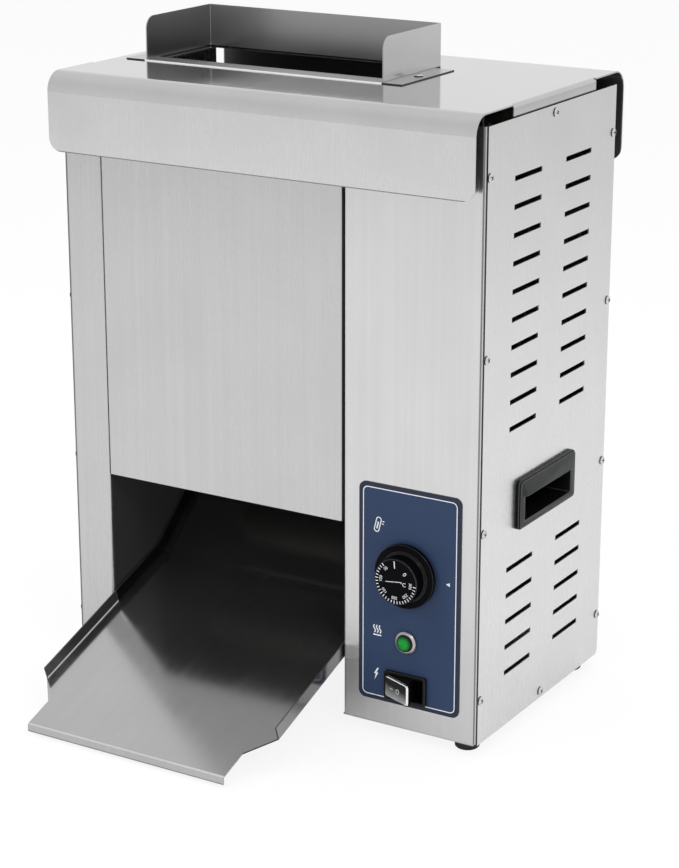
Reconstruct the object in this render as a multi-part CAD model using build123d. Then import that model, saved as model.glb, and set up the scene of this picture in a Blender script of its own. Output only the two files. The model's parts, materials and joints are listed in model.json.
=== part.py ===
from build123d import *
import math
import os

# Bun toaster, in millimetres. While it is modelled, Y is 0 on the front faces and Z is 0 on the table.

# Cabinet
BODY_WIDTH = 425.0
BODY_DEPTH = 245.0
PANEL_HEIGHT = 540.0
LEFT_COLUMN = 40.0
RIGHT_COLUMN = 133.5
SHEET = 1.2
BEND = 1.5
SIDE_FLANGE = 14.0
PANEL_SETBACK = 2.4
PANEL_CORNER = 6.0
PAN_FLANGE = 14.0
PAN_RELIEF = 1.0
PAN_OPENING = 150.0
HOUSING_TOP_DROP = 30.0
HOUSING_DROP_START = 60.0
FOOT_HEIGHT = 12.0
FOOT_RADIUS = 11.0
FOOT_CHAMFER = 1.5
FOOT_SIDE_INSET = 19.5
FOOT_END_INSET = 21.0

# Front panel, back panel and cross bars
OUTLET_HEIGHT = 182.0
FRONT_PANEL_DROP = 6.0
FRONT_PANEL_GAP = 1.6
FRONT_PANEL_FLANGE = 12.0
BACK_PANEL_OVERLAP = 16.0
BACK_PANEL_DROP = 40.0
BACK_SCREW_INSET = 8.0
BACK_SCREW_ROWS = 4
BAR_HEIGHT = 36.0
BAR_DEPTH = 26.0
BAR_GAP = 1.0

# Vents in the side panels: the upper ones run down to the handle and the lower ones start below it
VENT_LENGTH = 49.5
VENT_HEIGHT = 4.5
VENT_SPREAD = 47.5
UPPER_VENT_DROP = 50.3
UPPER_VENT_RISE = 72.2
UPPER_VENT_ROWS = 10
LOWER_VENT_DROP = 55.0
LOWER_VENT_BASE = 50.5
LOWER_VENT_ROWS = 5

# Screws
HEAD_RADIUS = 4.0
CROWN_RADIUS = 2.6
HEAD_HEIGHT = 2.2
SHANK_RADIUS = 1.9
SHANK_LENGTH = 6.0
SCREW_FIT = 0.1
SCREW_INSET = 6.5
SCREW_FIRST = 41.0
SCREW_LAST = 42.1
SCREW_ROWS = 4

# Top cover
COVER_RISE = 11.5
COVER_OVERHANG = 20.0
REAR_OVERHANG = 13.0
COVER_LIP = 69.5
REAR_LIP = 82.0
COVER_BEND = 15.8
COVER_FLANGE_SETBACK = 45.0
COVER_FLANGE_BEND = 2.5
COVER_SEAM = 0.9
LIP_CORNER = 12.0

# Bun guide on the cover
GUIDE_LEFT_LAP = 4.5
GUIDE_RIGHT_INSET = 9.0
GUIDE_FORE = 42.5
GUIDE_DEPTH = 102.0
GUIDE_HEIGHT = 39.0
GUIDE_SHEET = 1.0
GUIDE_BEND = 1.0
GUIDE_CORNER = 11.0
GUIDE_RIM = 17.0
GUIDE_FLANGE = 20.0
GUIDE_FLANGE_LEAD = 3.0
GUIDE_FLANGE_TRIM = 13.0
SLOT_SIDE_MARGIN = 4.0

# Discharge tray, with its upper surface measured at the front faces
TRAY_HEIGHT = 65.6
NOSE_HEIGHT = 10.5
TRAY_REACH = 160.0
TRAY_FLANGE = 11.7
NOSE_LENGTH = 55.0
NOSE_TAPER = 25.0
NOSE_INSET = 20.5
TRAY_LIP = 7.0
TRAY_CREASE = 78.0
TRAY_CREASE_BEND = 40.0
CHUTE_DROP = 47.2
CHUTE_SETBACK = 55.0
TRAY_CLEARANCE = 1.2
LEDGE_WIDTH = 9.0
LEDGE_LEG = 12.0
LEDGE_GAP = 0.3
LEDGE_START = 8.0
LEDGE_END = 70.0

# Heated platen between two belts
PLATEN_GAP = 11.75
PLATEN_THICKNESS = 20.0
PLATEN_DROP = 9.0
PLATEN_RISE = 13.0
PLATEN_EDGE = 3.0
LANE = 26.0
HEATER_RADIUS = 5.0
HEATER_COUNT = 4
HEATER_TAIL = 10.0
HEATER_FIT = 0.1
BULB_RADIUS = 3.0
BULB_LENGTH = 90.0
SPACER_RADIUS = 8.0
SPACER_INSET = 60.0
DIVIDER_HEIGHT = 20.0

# Belts, rollers and their bushes
ROLLER_RADIUS = 18.0
ROLLER_SPARE = 3.0
DRIVE_HEIGHT = 237.0
IDLER_DROP = 47.0
BELT_THICKNESS = 1.6
BELT_MARGIN = 2.0
BELT_GAP = 0.3
SHAFT_RADIUS = 5.0
SHAFT_TAIL = 6.0
RUN_FIT = 0.05
BUSH_RADIUS = 7.5
BUSH_FLANGE_RADIUS = 11.0
BUSH_FLANGE = 2.5
BUSH_NOSE = 3.0

# Four equal gears in a row from the front drive roller to the rear one
GEAR_TEETH = 20
GEAR_WIDTH = 9.0
GEAR_GAP = 1.5
GEAR_BACKLASH = 0.25
PRESSURE_ANGLE = 20.0
ADDENDUM = 0.9
DEDENDUM = 1.2
STUD_COLLAR = 8.0
STUD_CLIP = 1.5
STUD_PLAY = 0.3

# Gear motor on the front drive shaft
MOTOR_GAP = 6.0
GEARBOX_LENGTH = 30.0
GEARBOX_WIDTH = 50.0
GEARBOX_HEIGHT = 60.0
GEARBOX_EDGE = 4.0
SHAFT_ENGAGEMENT = 14.0
MOTOR_RADIUS = 24.0
MOTOR_CLEARANCE = 12.3
BRACKET_HALF_HEIGHT = 38.0
BRACKET_FOOT = 18.0
BRACKET_DEPTH = 54.0
BRACKET_BORE_SPARE = 3.0

# Control plate, with heights above the panel's lower edge
PLATE_LEFT_INSET = 16.4
PLATE_RIGHT_INSET = 17.1
PLATE_BASE = 22.5
PLATE_HEIGHT = 201.0
PLATE_CORNER = 6.5
PLATE_THICKNESS = 1.0
CONTROL_OFFSET = 2.1
KNOB_HEIGHT = 145.6
LAMP_HEIGHT = 83.2
SWITCH_HEIGHT = 40.2

# Thermostat and knob
KNOB_LIFT = 2.0
SKIRT_RADIUS = 29.0
SKIRT_THICKNESS = 4.0
STEP_RADIUS = 22.6
STEP_THICKNESS = 2.0
DIAL_BASE_RADIUS = 21.2
DIAL_RADIUS = 20.7
DIAL_HEIGHT = 12.0
DIAL_EDGE = 0.6
KNOB_CROWN = 3.0
SPINDLE_RADIUS = 3.0
SPINDLE_DEPTH = 12.0
THERMOSTAT_WIDTH = 36.0
THERMOSTAT_HEIGHT = 32.0
THERMOSTAT_DEPTH = 34.0
THERMOSTAT_NECK = 6.0
CAPILLARY_RADIUS = 1.2
CAPILLARY_BEND = 10.0
CAPILLARY_REACH = 20.0

# Pilot lamp
BEZEL_RADIUS = 10.25
BEZEL_THICKNESS = 3.5
BEZEL_CHAMFER = 1.5
LENS_RADIUS = 7.6
LENS_LIFT = 4.5
LENS_DOME = 2.5
LAMP_RADIUS = 6.5
LAMP_DEPTH = 24.0
LAMP_NUT_RADIUS = 9.5
LAMP_NUT = 4.0

# Rocker switch
SWITCH_WIDTH = 41.2
SWITCH_FRAME_HEIGHT = 27.0
SWITCH_FRAME = 3.0
SWITCH_CORNER = 2.0
SWITCH_WALL = 1.2
SWITCH_DEPTH = 24.0
SWITCH_FIT = 0.2
ROCKER_LENGTH = 32.5
ROCKER_ROOT = 14.0
ROCKER_WIDTH = 20.5
ROCKER_LIFT = 11.0
ROCKER_EDGE = 1.5
ROCKER_PLAY = 0.5
ROCKER_SWEEP = 1.9
ROCKER_TILT = 22.0
PIVOT_DEPTH = -1.0
PIVOT_RADIUS = 1.5
POCKET_DEPTH = 9.0

# Recessed handles, with the height above the panel's lower edge
HANDLE_FORE = 4.0
HANDLE_HEIGHT = 201.5
HANDLE_LENGTH = 109.0
HANDLE_RISE = 45.0
HANDLE_PROUD = 5.0
HANDLE_CORNER = 5.0
HANDLE_CHAMFER = 1.5
HANDLE_RIM = 5.0
HANDLE_WALL = 2.0
GRIP_LENGTH = 89.0
GRIP_FLOOR = 17.5
GRIP_INSET = 1.0
GRIP_DEPTH = 23.0
HOOD_DROP = 15.5
HOOD_PROUD = 2.5
HOOD_INSET = 6.0
HOOD_WALL = 2.5
HANDLE_FIT = 0.3

# Mains side, in the right housing
GLAND_INSET = 32.5
GLAND_HEIGHT = 50.0
GLAND_RADIUS = 8.0
GLAND_NUT = 11.0
GLAND_HEX = 6.0
GLAND_DOME = 9.0
GLAND_BORE = 4.0
GLAND_INNER_NUT = 4.0
TERMINAL_INSET = 29.0
TERMINAL_SETBACK = 40.0
TERMINAL_WAYS = 5
TERMINAL_PITCH = 9.0
TERMINAL_DEPTH = 18.0
TERMINAL_HEIGHT = 16.0
TERMINAL_WELL = 2.8
TERMINAL_WELL_DEPTH = 7.0

# Places that follow from the sizes above
HALF_WIDTH = BODY_WIDTH / 2
SKIN = HALF_WIDTH - SHEET
LEFT_WALL = -HALF_WIDTH + LEFT_COLUMN
RIGHT_WALL = HALF_WIDTH - RIGHT_COLUMN
CHAMBER_X = (LEFT_WALL + RIGHT_WALL) / 2
BASE = FOOT_HEIGHT
PAN_TOP = BASE + SHEET
PANEL_TOP = BASE + PANEL_HEIGHT
HOUSING_TOP = PANEL_TOP - HOUSING_TOP_DROP
COVER_TOP = PANEL_TOP + COVER_RISE
COVER_REAR = BODY_DEPTH + REAR_OVERHANG
MIDDLE_DEPTH = BODY_DEPTH / 2
GUIDE_LEFT = LEFT_WALL - GUIDE_LEFT_LAP
GUIDE_RIGHT = RIGHT_WALL - GUIDE_RIGHT_INSET
GUIDE_FRONT = MIDDLE_DEPTH - GUIDE_FORE
GUIDE_REAR = GUIDE_FRONT + GUIDE_DEPTH
GUIDE_FLANGE_START = GUIDE_FRONT - GUIDE_FLANGE_LEAD
GUIDE_FLANGE_END = GUIDE_REAR - GUIDE_FLANGE_TRIM
SLOT_FRONT = GUIDE_FRONT + GUIDE_RIM
SLOT_REAR = GUIDE_REAR - GUIDE_SHEET
PLATEN_Y = (SLOT_FRONT + SLOT_REAR) / 2
PLATEN_WIDTH = RIGHT_WALL - LEFT_WALL - 2 * PLATEN_GAP
IDLER_HEIGHT = PANEL_TOP - IDLER_DROP
PLATEN_BASE = DRIVE_HEIGHT - PLATEN_DROP
PLATEN_TOP = IDLER_HEIGHT + PLATEN_RISE
PLATEN_HEIGHT = PLATEN_TOP - PLATEN_BASE
ROLLER_OFFSET = PLATEN_THICKNESS / 2 + LANE + BELT_THICKNESS + BELT_GAP + ROLLER_RADIUS
FRONT_ROLLER_Y = PLATEN_Y - ROLLER_OFFSET
REAR_ROLLER_Y = PLATEN_Y + ROLLER_OFFSET
WALL_BACK = RIGHT_WALL + SHEET
GEAR_START = WALL_BACK + BUSH_FLANGE + GEAR_GAP
GEAR_END = GEAR_START + GEAR_WIDTH
GEAR_CENTRES = 3
GEAR_PITCH_DIAMETER = (REAR_ROLLER_Y - FRONT_ROLLER_Y) / GEAR_CENTRES
GEAR_MODULE = GEAR_PITCH_DIAMETER / GEAR_TEETH
GEARBOX_START = GEAR_END + MOTOR_GAP
GEARBOX_END = GEARBOX_START + GEARBOX_LENGTH
MOTOR_END = HALF_WIDTH - GRIP_DEPTH - HANDLE_WALL - MOTOR_CLEARANCE
CAPILLARY_X = MOTOR_END + MOTOR_CLEARANCE / 2
PLATE_LEFT = RIGHT_WALL + PLATE_LEFT_INSET
PLATE_WIDTH = RIGHT_COLUMN - PLATE_LEFT_INSET - PLATE_RIGHT_INSET
CONTROL_X = PLATE_LEFT + PLATE_WIDTH / 2 - CONTROL_OFFSET
KNOB_Z = BASE + KNOB_HEIGHT
LAMP_Z = BASE + LAMP_HEIGHT
SWITCH_Z = BASE + SWITCH_HEIGHT
HANDLE_Y = MIDDLE_DEPTH - HANDLE_FORE
HANDLE_Z = BASE + HANDLE_HEIGHT
HANDLE_TUB_LENGTH = HANDLE_LENGTH - 2 * HANDLE_RIM
HANDLE_TUB_RISE = HANDLE_RISE - 2 * HANDLE_RIM
GLAND_X = HALF_WIDTH - GLAND_INSET
GLAND_Z = BASE + GLAND_HEIGHT
TERMINAL_X = RIGHT_WALL + TERMINAL_INSET
TERMINAL_Y = BODY_DEPTH - TERMINAL_SETBACK
TRAY_SLOPE = (TRAY_HEIGHT - NOSE_HEIGHT) / TRAY_REACH
CHUTE_END = BODY_DEPTH - CHUTE_SETBACK
CHUTE_TOP = DRIVE_HEIGHT - CHUTE_DROP
NOSE_START = TRAY_REACH - NOSE_LENGTH
CREASE_HEIGHT = TRAY_HEIGHT + TRAY_SLOPE * TRAY_CREASE
TRAY_LEFT = LEFT_WALL + TRAY_CLEARANCE
TRAY_RIGHT = RIGHT_WALL - TRAY_CLEARANCE
BULB_Z = PLATEN_BASE + PLATEN_HEIGHT / 2
MIDDLE_Y = (COVER_REAR - TRAY_REACH) / 2
SPARE = 10.0

PLANES = {"X": Plane.YZ, "Y": Plane.XZ, "Z": Plane.XY}
LOW_CORNER = (Align.MIN, Align.MIN, Align.MIN)


def save(name, *solids):
    """One piece of the toaster, moved so that the origin lies under the middle of the whole."""
    shape = solids[0] if len(solids) == 1 else Compound(list(solids))
    export_step(Pos(0, -MIDDLE_Y, 0) * shape, f"parts/{name}.step")


def prism(face, axis, start, end):
    """Sketch raised along one axis, between two places on that axis."""
    sign = -1 if axis == "Y" else 1
    return extrude(PLANES[axis].offset(sign * start) * face, amount=sign * (end - start))


def block(x, y, z):
    """Block between two limits along each axis."""
    size = [high - low for low, high in (x, y, z)]
    return Pos(x[0], y[0], z[0]) * Box(*size, align=LOW_CORNER)


def rod(axis, place, radius, start, end):
    """Round bar along one axis, at its place on the plane across that axis."""
    return prism(Pos(*place) * Circle(radius), axis, start, end)


def turned(profile, x, z):
    """Profile of radius and Y, turned about a line along Y."""
    face = make_face(Polyline(*profile, close=True).edges())
    return Pos(x, 0, z) * revolve(face, Axis.Y)


def runs_of(points):
    """Unit direction of each straight run of a profile."""
    steps = []
    for start, end in zip(points, points[1:]):
        span = math.dist(start, end)
        steps.append(((end[0] - start[0]) / span, (end[1] - start[1]) / span))
    return steps


def left_offset(points, distance):
    """Profile moved sideways to the left of its run, with mitred corners."""
    steps = runs_of(points)
    moved = []
    for index, (x, y) in enumerate(points):
        before = steps[max(index - 1, 0)]
        after = steps[min(index, len(steps) - 1)]
        share = distance / (1 + before[0] * after[0] + before[1] * after[1])
        moved.append((x - (before[1] + after[1]) * share, y + (before[0] + after[0]) * share))
    return moved


def folded_sheet(points, thickness, bends, axis, start, end):
    """Folded sheet with its wall to the left of the points and bends given as inside radii."""
    steps = runs_of(points)
    near = []
    far = []
    for before, after, bend in zip(steps, steps[1:], bends):
        turns_left = before[0] * after[1] > before[1] * after[0]
        near.append(bend + thickness if turns_left else bend)
        far.append(bend if turns_left else bend + thickness)
    face_line = FilletPolyline(*points, radius=near)
    back_line = FilletPolyline(*left_offset(points, thickness), radius=far)
    first = Line(face_line @ 0, back_line @ 0)
    last = Line(face_line @ 1, back_line @ 1)
    outline = face_line.edges() + back_line.edges() + first.edges() + last.edges()
    return prism(make_face(outline), axis, start, end)


def screw(origin, outward):
    """Pan-head screw whose head rests on a face at the origin."""
    head = Cone(HEAD_RADIUS, CROWN_RADIUS, HEAD_HEIGHT, align=(Align.CENTER, Align.CENTER, Align.MIN))
    shank = Cylinder(SHANK_RADIUS, SHANK_LENGTH, align=(Align.CENTER, Align.CENTER, Align.MAX))
    return Plane(origin=origin, z_dir=outward) * (head + shank)


def side_screw_places():
    """Screws along both upright edges of a side panel, and one in the middle of its top and bottom."""
    pitch = (PANEL_HEIGHT - SCREW_FIRST - SCREW_LAST) / (SCREW_ROWS - 1)
    rows = [BASE + SCREW_FIRST + row * pitch for row in range(SCREW_ROWS)]
    edges = [SCREW_INSET, BODY_DEPTH - SCREW_INSET]
    middle = [BASE + SCREW_INSET, PANEL_TOP - SCREW_INSET]
    return [(y, z) for y in edges for z in rows] + [(MIDDLE_DEPTH, z) for z in middle]


def back_screw_places():
    """Screws down both edges of the back panel."""
    low = BASE + BACK_SCREW_INSET
    high = PANEL_TOP - BACK_PANEL_DROP - BACK_SCREW_INSET
    pitch = (high - low) / (BACK_SCREW_ROWS - 1)
    rows = [low + row * pitch for row in range(BACK_SCREW_ROWS)]
    edges = [LEFT_WALL - BACK_SCREW_INSET, RIGHT_WALL + BACK_SCREW_INSET]
    return [(x, z) for x in edges for z in rows]


def guide_screw_places():
    """One screw in each side flange of the bun guide."""
    y = (GUIDE_FLANGE_START + GUIDE_FLANGE_END) / 2
    return [(GUIDE_LEFT - GUIDE_FLANGE / 2, y), (GUIDE_RIGHT + GUIDE_FLANGE / 2, y)]


def roller_places():
    """Axes of the two drive rollers and the two idler rollers, as Y and Z."""
    return [(y, z) for z in (DRIVE_HEIGHT, IDLER_HEIGHT) for y in (FRONT_ROLLER_Y, REAR_ROLLER_Y)]


def heater_heights():
    """Heights of the cartridge heaters, clear of the sensing bulb at mid height."""
    pitch = PLATEN_HEIGHT / HEATER_COUNT
    return [PLATEN_BASE + (row + 0.5) * pitch for row in range(HEATER_COUNT)]


def spacer_heights():
    """Heights of the platen's spacers."""
    return [PLATEN_BASE + SPACER_INSET, PLATEN_TOP - SPACER_INSET]


def base_pan():
    """Floor of the cabinet, with side flanges, open in front between the columns."""
    side_run = [(-SKIN, BASE + PAN_FLANGE), (-SKIN, BASE), (SKIN, BASE), (SKIN, BASE + PAN_FLANGE)]
    pan = folded_sheet(side_run, SHEET, [BEND, BEND], "Y", 0, BODY_DEPTH)
    ends = SIDE_FLANGE + PAN_RELIEF
    above = (PAN_TOP, BASE + PAN_FLANGE + SPARE)
    for y in ((-SPARE, ends), (BODY_DEPTH - ends, BODY_DEPTH + SPARE)):
        pan -= block((-HALF_WIDTH, HALF_WIDTH), y, above)
    pan -= block((LEFT_WALL, RIGHT_WALL), (-SPARE, PAN_OPENING), (BASE - SPARE, PAN_TOP + SPARE))
    for side in (-1, 1):
        for place in side_screw_places():
            hole = SHANK_RADIUS + SCREW_FIT
            pan -= rod("X", place, hole, side * SKIN - SPARE, side * SKIN + SPARE)
    return pan


def feet():
    """Four rubber feet under the base pan."""
    foot = Cylinder(FOOT_RADIUS, FOOT_HEIGHT, align=(Align.CENTER, Align.CENTER, Align.MIN))
    foot = chamfer(foot.faces().sort_by(Axis.Z)[0].edges(), FOOT_CHAMFER)
    x = HALF_WIDTH - FOOT_SIDE_INSET
    rows = (FOOT_END_INSET, BODY_DEPTH - FOOT_END_INSET)
    return [Pos(side * x, y, 0) * foot for side in (-1, 1) for y in rows]


def housing(side):
    """Channel folded from one sheet: front column, chamber wall and rear face, open to a side panel."""
    wall = RIGHT_WALL if side > 0 else LEFT_WALL
    skin = side * SKIN
    run = [
        (skin, BODY_DEPTH - SIDE_FLANGE),
        (skin, BODY_DEPTH),
        (wall, BODY_DEPTH),
        (wall, 0),
        (skin, 0),
        (skin, SIDE_FLANGE),
    ]
    if side < 0:
        run.reverse()
    shell = folded_sheet(run, SHEET, [BEND] * 4, "Z", PAN_TOP, PANEL_TOP)
    shell -= block(
        (-HALF_WIDTH, HALF_WIDTH),
        (HOUSING_DROP_START, BODY_DEPTH + SPARE),
        (HOUSING_TOP, PANEL_TOP + SPARE),
    )
    for place in side_screw_places():
        shell -= rod("X", place, SHANK_RADIUS + SCREW_FIT, skin - SPARE, skin + SPARE)
    for x, z in back_screw_places():
        if x * side > wall * side:
            shell -= rod("Y", (x, z), SHANK_RADIUS + SCREW_FIT, BODY_DEPTH - SPARE, BODY_DEPTH + SPARE)
    for place in roller_places():
        shell -= rod("X", place, BUSH_RADIUS + RUN_FIT, wall - SPARE, wall + SPARE)
    return shell


def left_housing():
    """Narrow left channel, with holes for the heater tails."""
    shell = housing(-1)
    for z in heater_heights():
        hole = HEATER_RADIUS + HEATER_FIT
        shell -= rod("X", (PLATEN_Y, z), hole, LEFT_WALL - SPARE, LEFT_WALL + SPARE)
    return shell


def right_housing():
    """Wide right channel, cut for the controls, the sensing tube and the cable gland."""
    shell = housing(1)
    shell -= rod("X", (PLATEN_Y, BULB_Z), BULB_RADIUS, RIGHT_WALL - SPARE, RIGHT_WALL + SPARE)
    shell -= rod("Y", (GLAND_X, GLAND_Z), GLAND_RADIUS + RUN_FIT, BODY_DEPTH - SPARE, BODY_DEPTH + SPARE)
    return shell - control_cuts()


def control_cuts():
    """Holes for the thermostat neck, the lamp and the switch, through plate and column alike."""
    cuts = rod("Y", (CONTROL_X, KNOB_Z), THERMOSTAT_NECK + RUN_FIT, -SPARE, SPARE)
    cuts += rod("Y", (CONTROL_X, LAMP_Z), LAMP_RADIUS + RUN_FIT, -SPARE, SPARE)
    window = Pos(CONTROL_X, SWITCH_Z) * Rectangle(
        switch_pocket_width() + 2 * (SWITCH_WALL + SWITCH_FIT),
        switch_pocket_height() + 2 * (SWITCH_WALL + SWITCH_FIT),
    )
    return cuts + prism(window, "Y", -SPARE, SPARE)


def vent_heights():
    """Heights of the vent slots: a long column above the handle and a short one below it."""
    columns = (
        (PANEL_TOP - UPPER_VENT_DROP, HANDLE_Z + UPPER_VENT_RISE, UPPER_VENT_ROWS),
        (HANDLE_Z - LOWER_VENT_DROP, BASE + LOWER_VENT_BASE, LOWER_VENT_ROWS),
    )
    heights = []
    for top, low, rows in columns:
        pitch = (top - low) / (rows - 1)
        heights += [top - row * pitch for row in range(rows)]
    return heights


def side_panel(side):
    """Flat outer skin with two columns of vent slots and a window for the handle."""
    depth = BODY_DEPTH - 2 * PANEL_SETBACK
    skin = Pos(MIDDLE_DEPTH, BASE + PANEL_HEIGHT / 2) * Rectangle(depth, PANEL_HEIGHT)
    rear_low = skin.vertices().group_by(Axis.X)[-1].sort_by(Axis.Y)[0]
    skin = fillet(rear_low, PANEL_CORNER)
    slot = Rectangle(VENT_LENGTH, VENT_HEIGHT)
    columns = (MIDDLE_DEPTH - VENT_SPREAD, MIDDLE_DEPTH + VENT_SPREAD)
    skin -= [Pos(y, z) * slot for y in columns for z in vent_heights()]
    skin -= [Pos(y, z) * Circle(SHANK_RADIUS + SCREW_FIT) for y, z in side_screw_places()]
    window = Rectangle(HANDLE_TUB_LENGTH + 2 * HANDLE_FIT, HANDLE_TUB_RISE + 2 * HANDLE_FIT)
    skin -= Pos(HANDLE_Y, HANDLE_Z) * window
    return prism(skin, "X", *sorted((side * SKIN, side * HALF_WIDTH)))


def side_panel_screws():
    """Screws of both side panels."""
    sides = (-1, 1)
    return [screw((s * HALF_WIDTH, y, z), (s, 0, 0)) for s in sides for y, z in side_screw_places()]


def back_panel():
    """Sheet that closes the toasting chamber behind."""
    left = LEFT_WALL - BACK_PANEL_OVERLAP
    right = RIGHT_WALL + BACK_PANEL_OVERLAP
    height = PANEL_HEIGHT - BACK_PANEL_DROP
    sheet = Pos((left + right) / 2, BASE + height / 2) * Rectangle(right - left, height)
    sheet -= [Pos(x, z) * Circle(SHANK_RADIUS + SCREW_FIT) for x, z in back_screw_places()]
    return prism(sheet, "Y", BODY_DEPTH, BODY_DEPTH + SHEET)


def back_panel_screws():
    """Screws of the back panel."""
    return [screw((x, BODY_DEPTH + SHEET, z), (0, 1, 0)) for x, z in back_screw_places()]


def front_panel():
    """Lift-out panel between the columns, with its sides folded back."""
    right = RIGHT_WALL - FRONT_PANEL_GAP
    run = [(LEFT_WALL, FRONT_PANEL_FLANGE), (LEFT_WALL, 0), (right, 0), (right, FRONT_PANEL_FLANGE)]
    top = PANEL_TOP - FRONT_PANEL_DROP
    return folded_sheet(run, SHEET, [BEND, BEND], "Z", BASE + OUTLET_HEIGHT, top)


def front_cross_bar():
    """Angle between the chamber walls, behind the top of the front panel."""
    y = FRONT_PANEL_FLANGE + BAR_GAP + SHEET
    top = PANEL_TOP - FRONT_PANEL_DROP
    run = [(y, top - BAR_HEIGHT), (y, top), (y + BAR_DEPTH, top)]
    return folded_sheet(run, SHEET, [BEND], "X", LEFT_WALL, RIGHT_WALL)


def rear_cross_bar():
    """Angle between the chamber walls, along the foot of the back panel."""
    run = [(BODY_DEPTH, PAN_TOP), (BODY_DEPTH, PAN_TOP + BAR_HEIGHT)]
    run.append((BODY_DEPTH - BAR_DEPTH, PAN_TOP + BAR_HEIGHT))
    return folded_sheet(run, SHEET, [BEND], "X", LEFT_WALL, RIGHT_WALL)


def top_cover():
    """Lid with a deep rounded lip in front and behind, short side flanges and the bun slot."""
    run = [
        (COVER_REAR, COVER_TOP - REAR_LIP),
        (COVER_REAR, COVER_TOP),
        (-COVER_OVERHANG, COVER_TOP),
        (-COVER_OVERHANG, COVER_TOP - COVER_LIP),
    ]
    cover = folded_sheet(run, SHEET, [COVER_BEND, COVER_BEND], "X", -HALF_WIDTH, HALF_WIDTH)
    flange_y = (COVER_FLANGE_SETBACK, BODY_DEPTH - COVER_FLANGE_SETBACK)
    bend_width = COVER_FLANGE_BEND + SHEET
    for side in (-1, 1):
        edge = side * HALF_WIDTH
        fold = [(edge, PANEL_TOP + COVER_SEAM), (edge, COVER_TOP), (edge - side * SPARE, COVER_TOP)]
        if side < 0:
            fold.reverse()
        corner = sorted((edge - side * bend_width, edge + side * SPARE))
        cover -= block(corner, flange_y, (PANEL_TOP, COVER_TOP + SPARE))
        cover += folded_sheet(fold, SHEET, [COVER_FLANGE_BEND], "Y", *flange_y)
    across = cover.edges().filter_by(Axis.Y).group_by(Axis.Z)
    cover = fillet(across[0] + across[1], LIP_CORNER)
    slot_x = (LEFT_WALL + SLOT_SIDE_MARGIN, GUIDE_RIGHT - SLOT_SIDE_MARGIN)
    cover -= block(slot_x, (SLOT_FRONT, SLOT_REAR), (PANEL_TOP, COVER_TOP + SPARE))
    for place in guide_screw_places():
        cover -= rod("Z", place, SHANK_RADIUS + SCREW_FIT, PANEL_TOP, COVER_TOP + SPARE)
    return cover


def bun_guide():
    """Three-sided guide for the buns, with base flanges and a rim in front of the slot."""
    top = COVER_TOP + GUIDE_HEIGHT
    run = [(GUIDE_RIGHT, GUIDE_FRONT), (GUIDE_RIGHT, GUIDE_REAR)]
    run += [(GUIDE_LEFT, GUIDE_REAR), (GUIDE_LEFT, GUIDE_FRONT)]
    guide = folded_sheet(run, GUIDE_SHEET, [GUIDE_BEND, GUIDE_BEND], "Z", COVER_TOP, top)
    corners = guide.edges().filter_by(Axis.X).group_by(Axis.Y)[0].group_by(Axis.Z)[-1]
    guide = fillet(corners, GUIDE_CORNER)
    base_z = (COVER_TOP, COVER_TOP + GUIDE_SHEET)
    flange_y = (GUIDE_FLANGE_START, GUIDE_FLANGE_END)
    guide += block((GUIDE_LEFT - GUIDE_FLANGE, GUIDE_LEFT + GUIDE_SHEET), flange_y, base_z)
    guide += block((GUIDE_RIGHT - GUIDE_SHEET, GUIDE_RIGHT + GUIDE_FLANGE), flange_y, base_z)
    guide += block((GUIDE_LEFT, GUIDE_RIGHT), (GUIDE_FLANGE_START, SLOT_FRONT), base_z)
    for place in guide_screw_places():
        guide -= rod("Z", place, SHANK_RADIUS + SCREW_FIT, COVER_TOP - SPARE, COVER_TOP + SPARE)
    return guide


def bun_guide_screws():
    """Screws of the bun guide."""
    return [screw((x, y, COVER_TOP + GUIDE_SHEET), (0, 0, 1)) for x, y in guide_screw_places()]


def discharge_tray():
    """Slide with folded sides, a narrower nose with a turned-down lip and a steeper chute behind."""
    chute = (CHUTE_END, CHUTE_TOP)
    crease = (TRAY_CREASE, CREASE_HEIGHT)
    nose = (-TRAY_REACH, NOSE_HEIGHT)
    lip = (-TRAY_REACH, NOSE_HEIGHT - TRAY_LIP)
    floor_bends = [TRAY_CREASE_BEND, BEND]
    tray = folded_sheet([chute, crease, nose, lip], SHEET, floor_bends, "X", TRAY_LEFT, TRAY_RIGHT)
    for edge, inward in ((TRAY_LEFT, 1), (TRAY_RIGHT, -1)):
        nose_x = edge + inward * NOSE_INSET
        outside = edge - inward * SPARE
        corner = Polyline(
            (edge, -NOSE_START),
            (nose_x, -NOSE_START - NOSE_TAPER),
            (nose_x, -TRAY_REACH - SPARE),
            (outside, -TRAY_REACH - SPARE),
            (outside, -NOSE_START),
            close=True,
        )
        tray -= prism(make_face(corner.edges()), "Z", -SPARE, CREASE_HEIGHT)
    shoulder = (-NOSE_START, TRAY_HEIGHT - TRAY_SLOPE * NOSE_START)
    rim = left_offset([chute, crease, shoulder], -TRAY_FLANGE)
    rim_bends = [TRAY_CREASE_BEND - TRAY_FLANGE]
    height = TRAY_FLANGE + SHEET
    tray += folded_sheet(rim, height, rim_bends, "X", TRAY_LEFT, TRAY_LEFT + SHEET)
    tray += folded_sheet(rim, height, rim_bends, "X", TRAY_RIGHT - SHEET, TRAY_RIGHT)
    return tray


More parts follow.
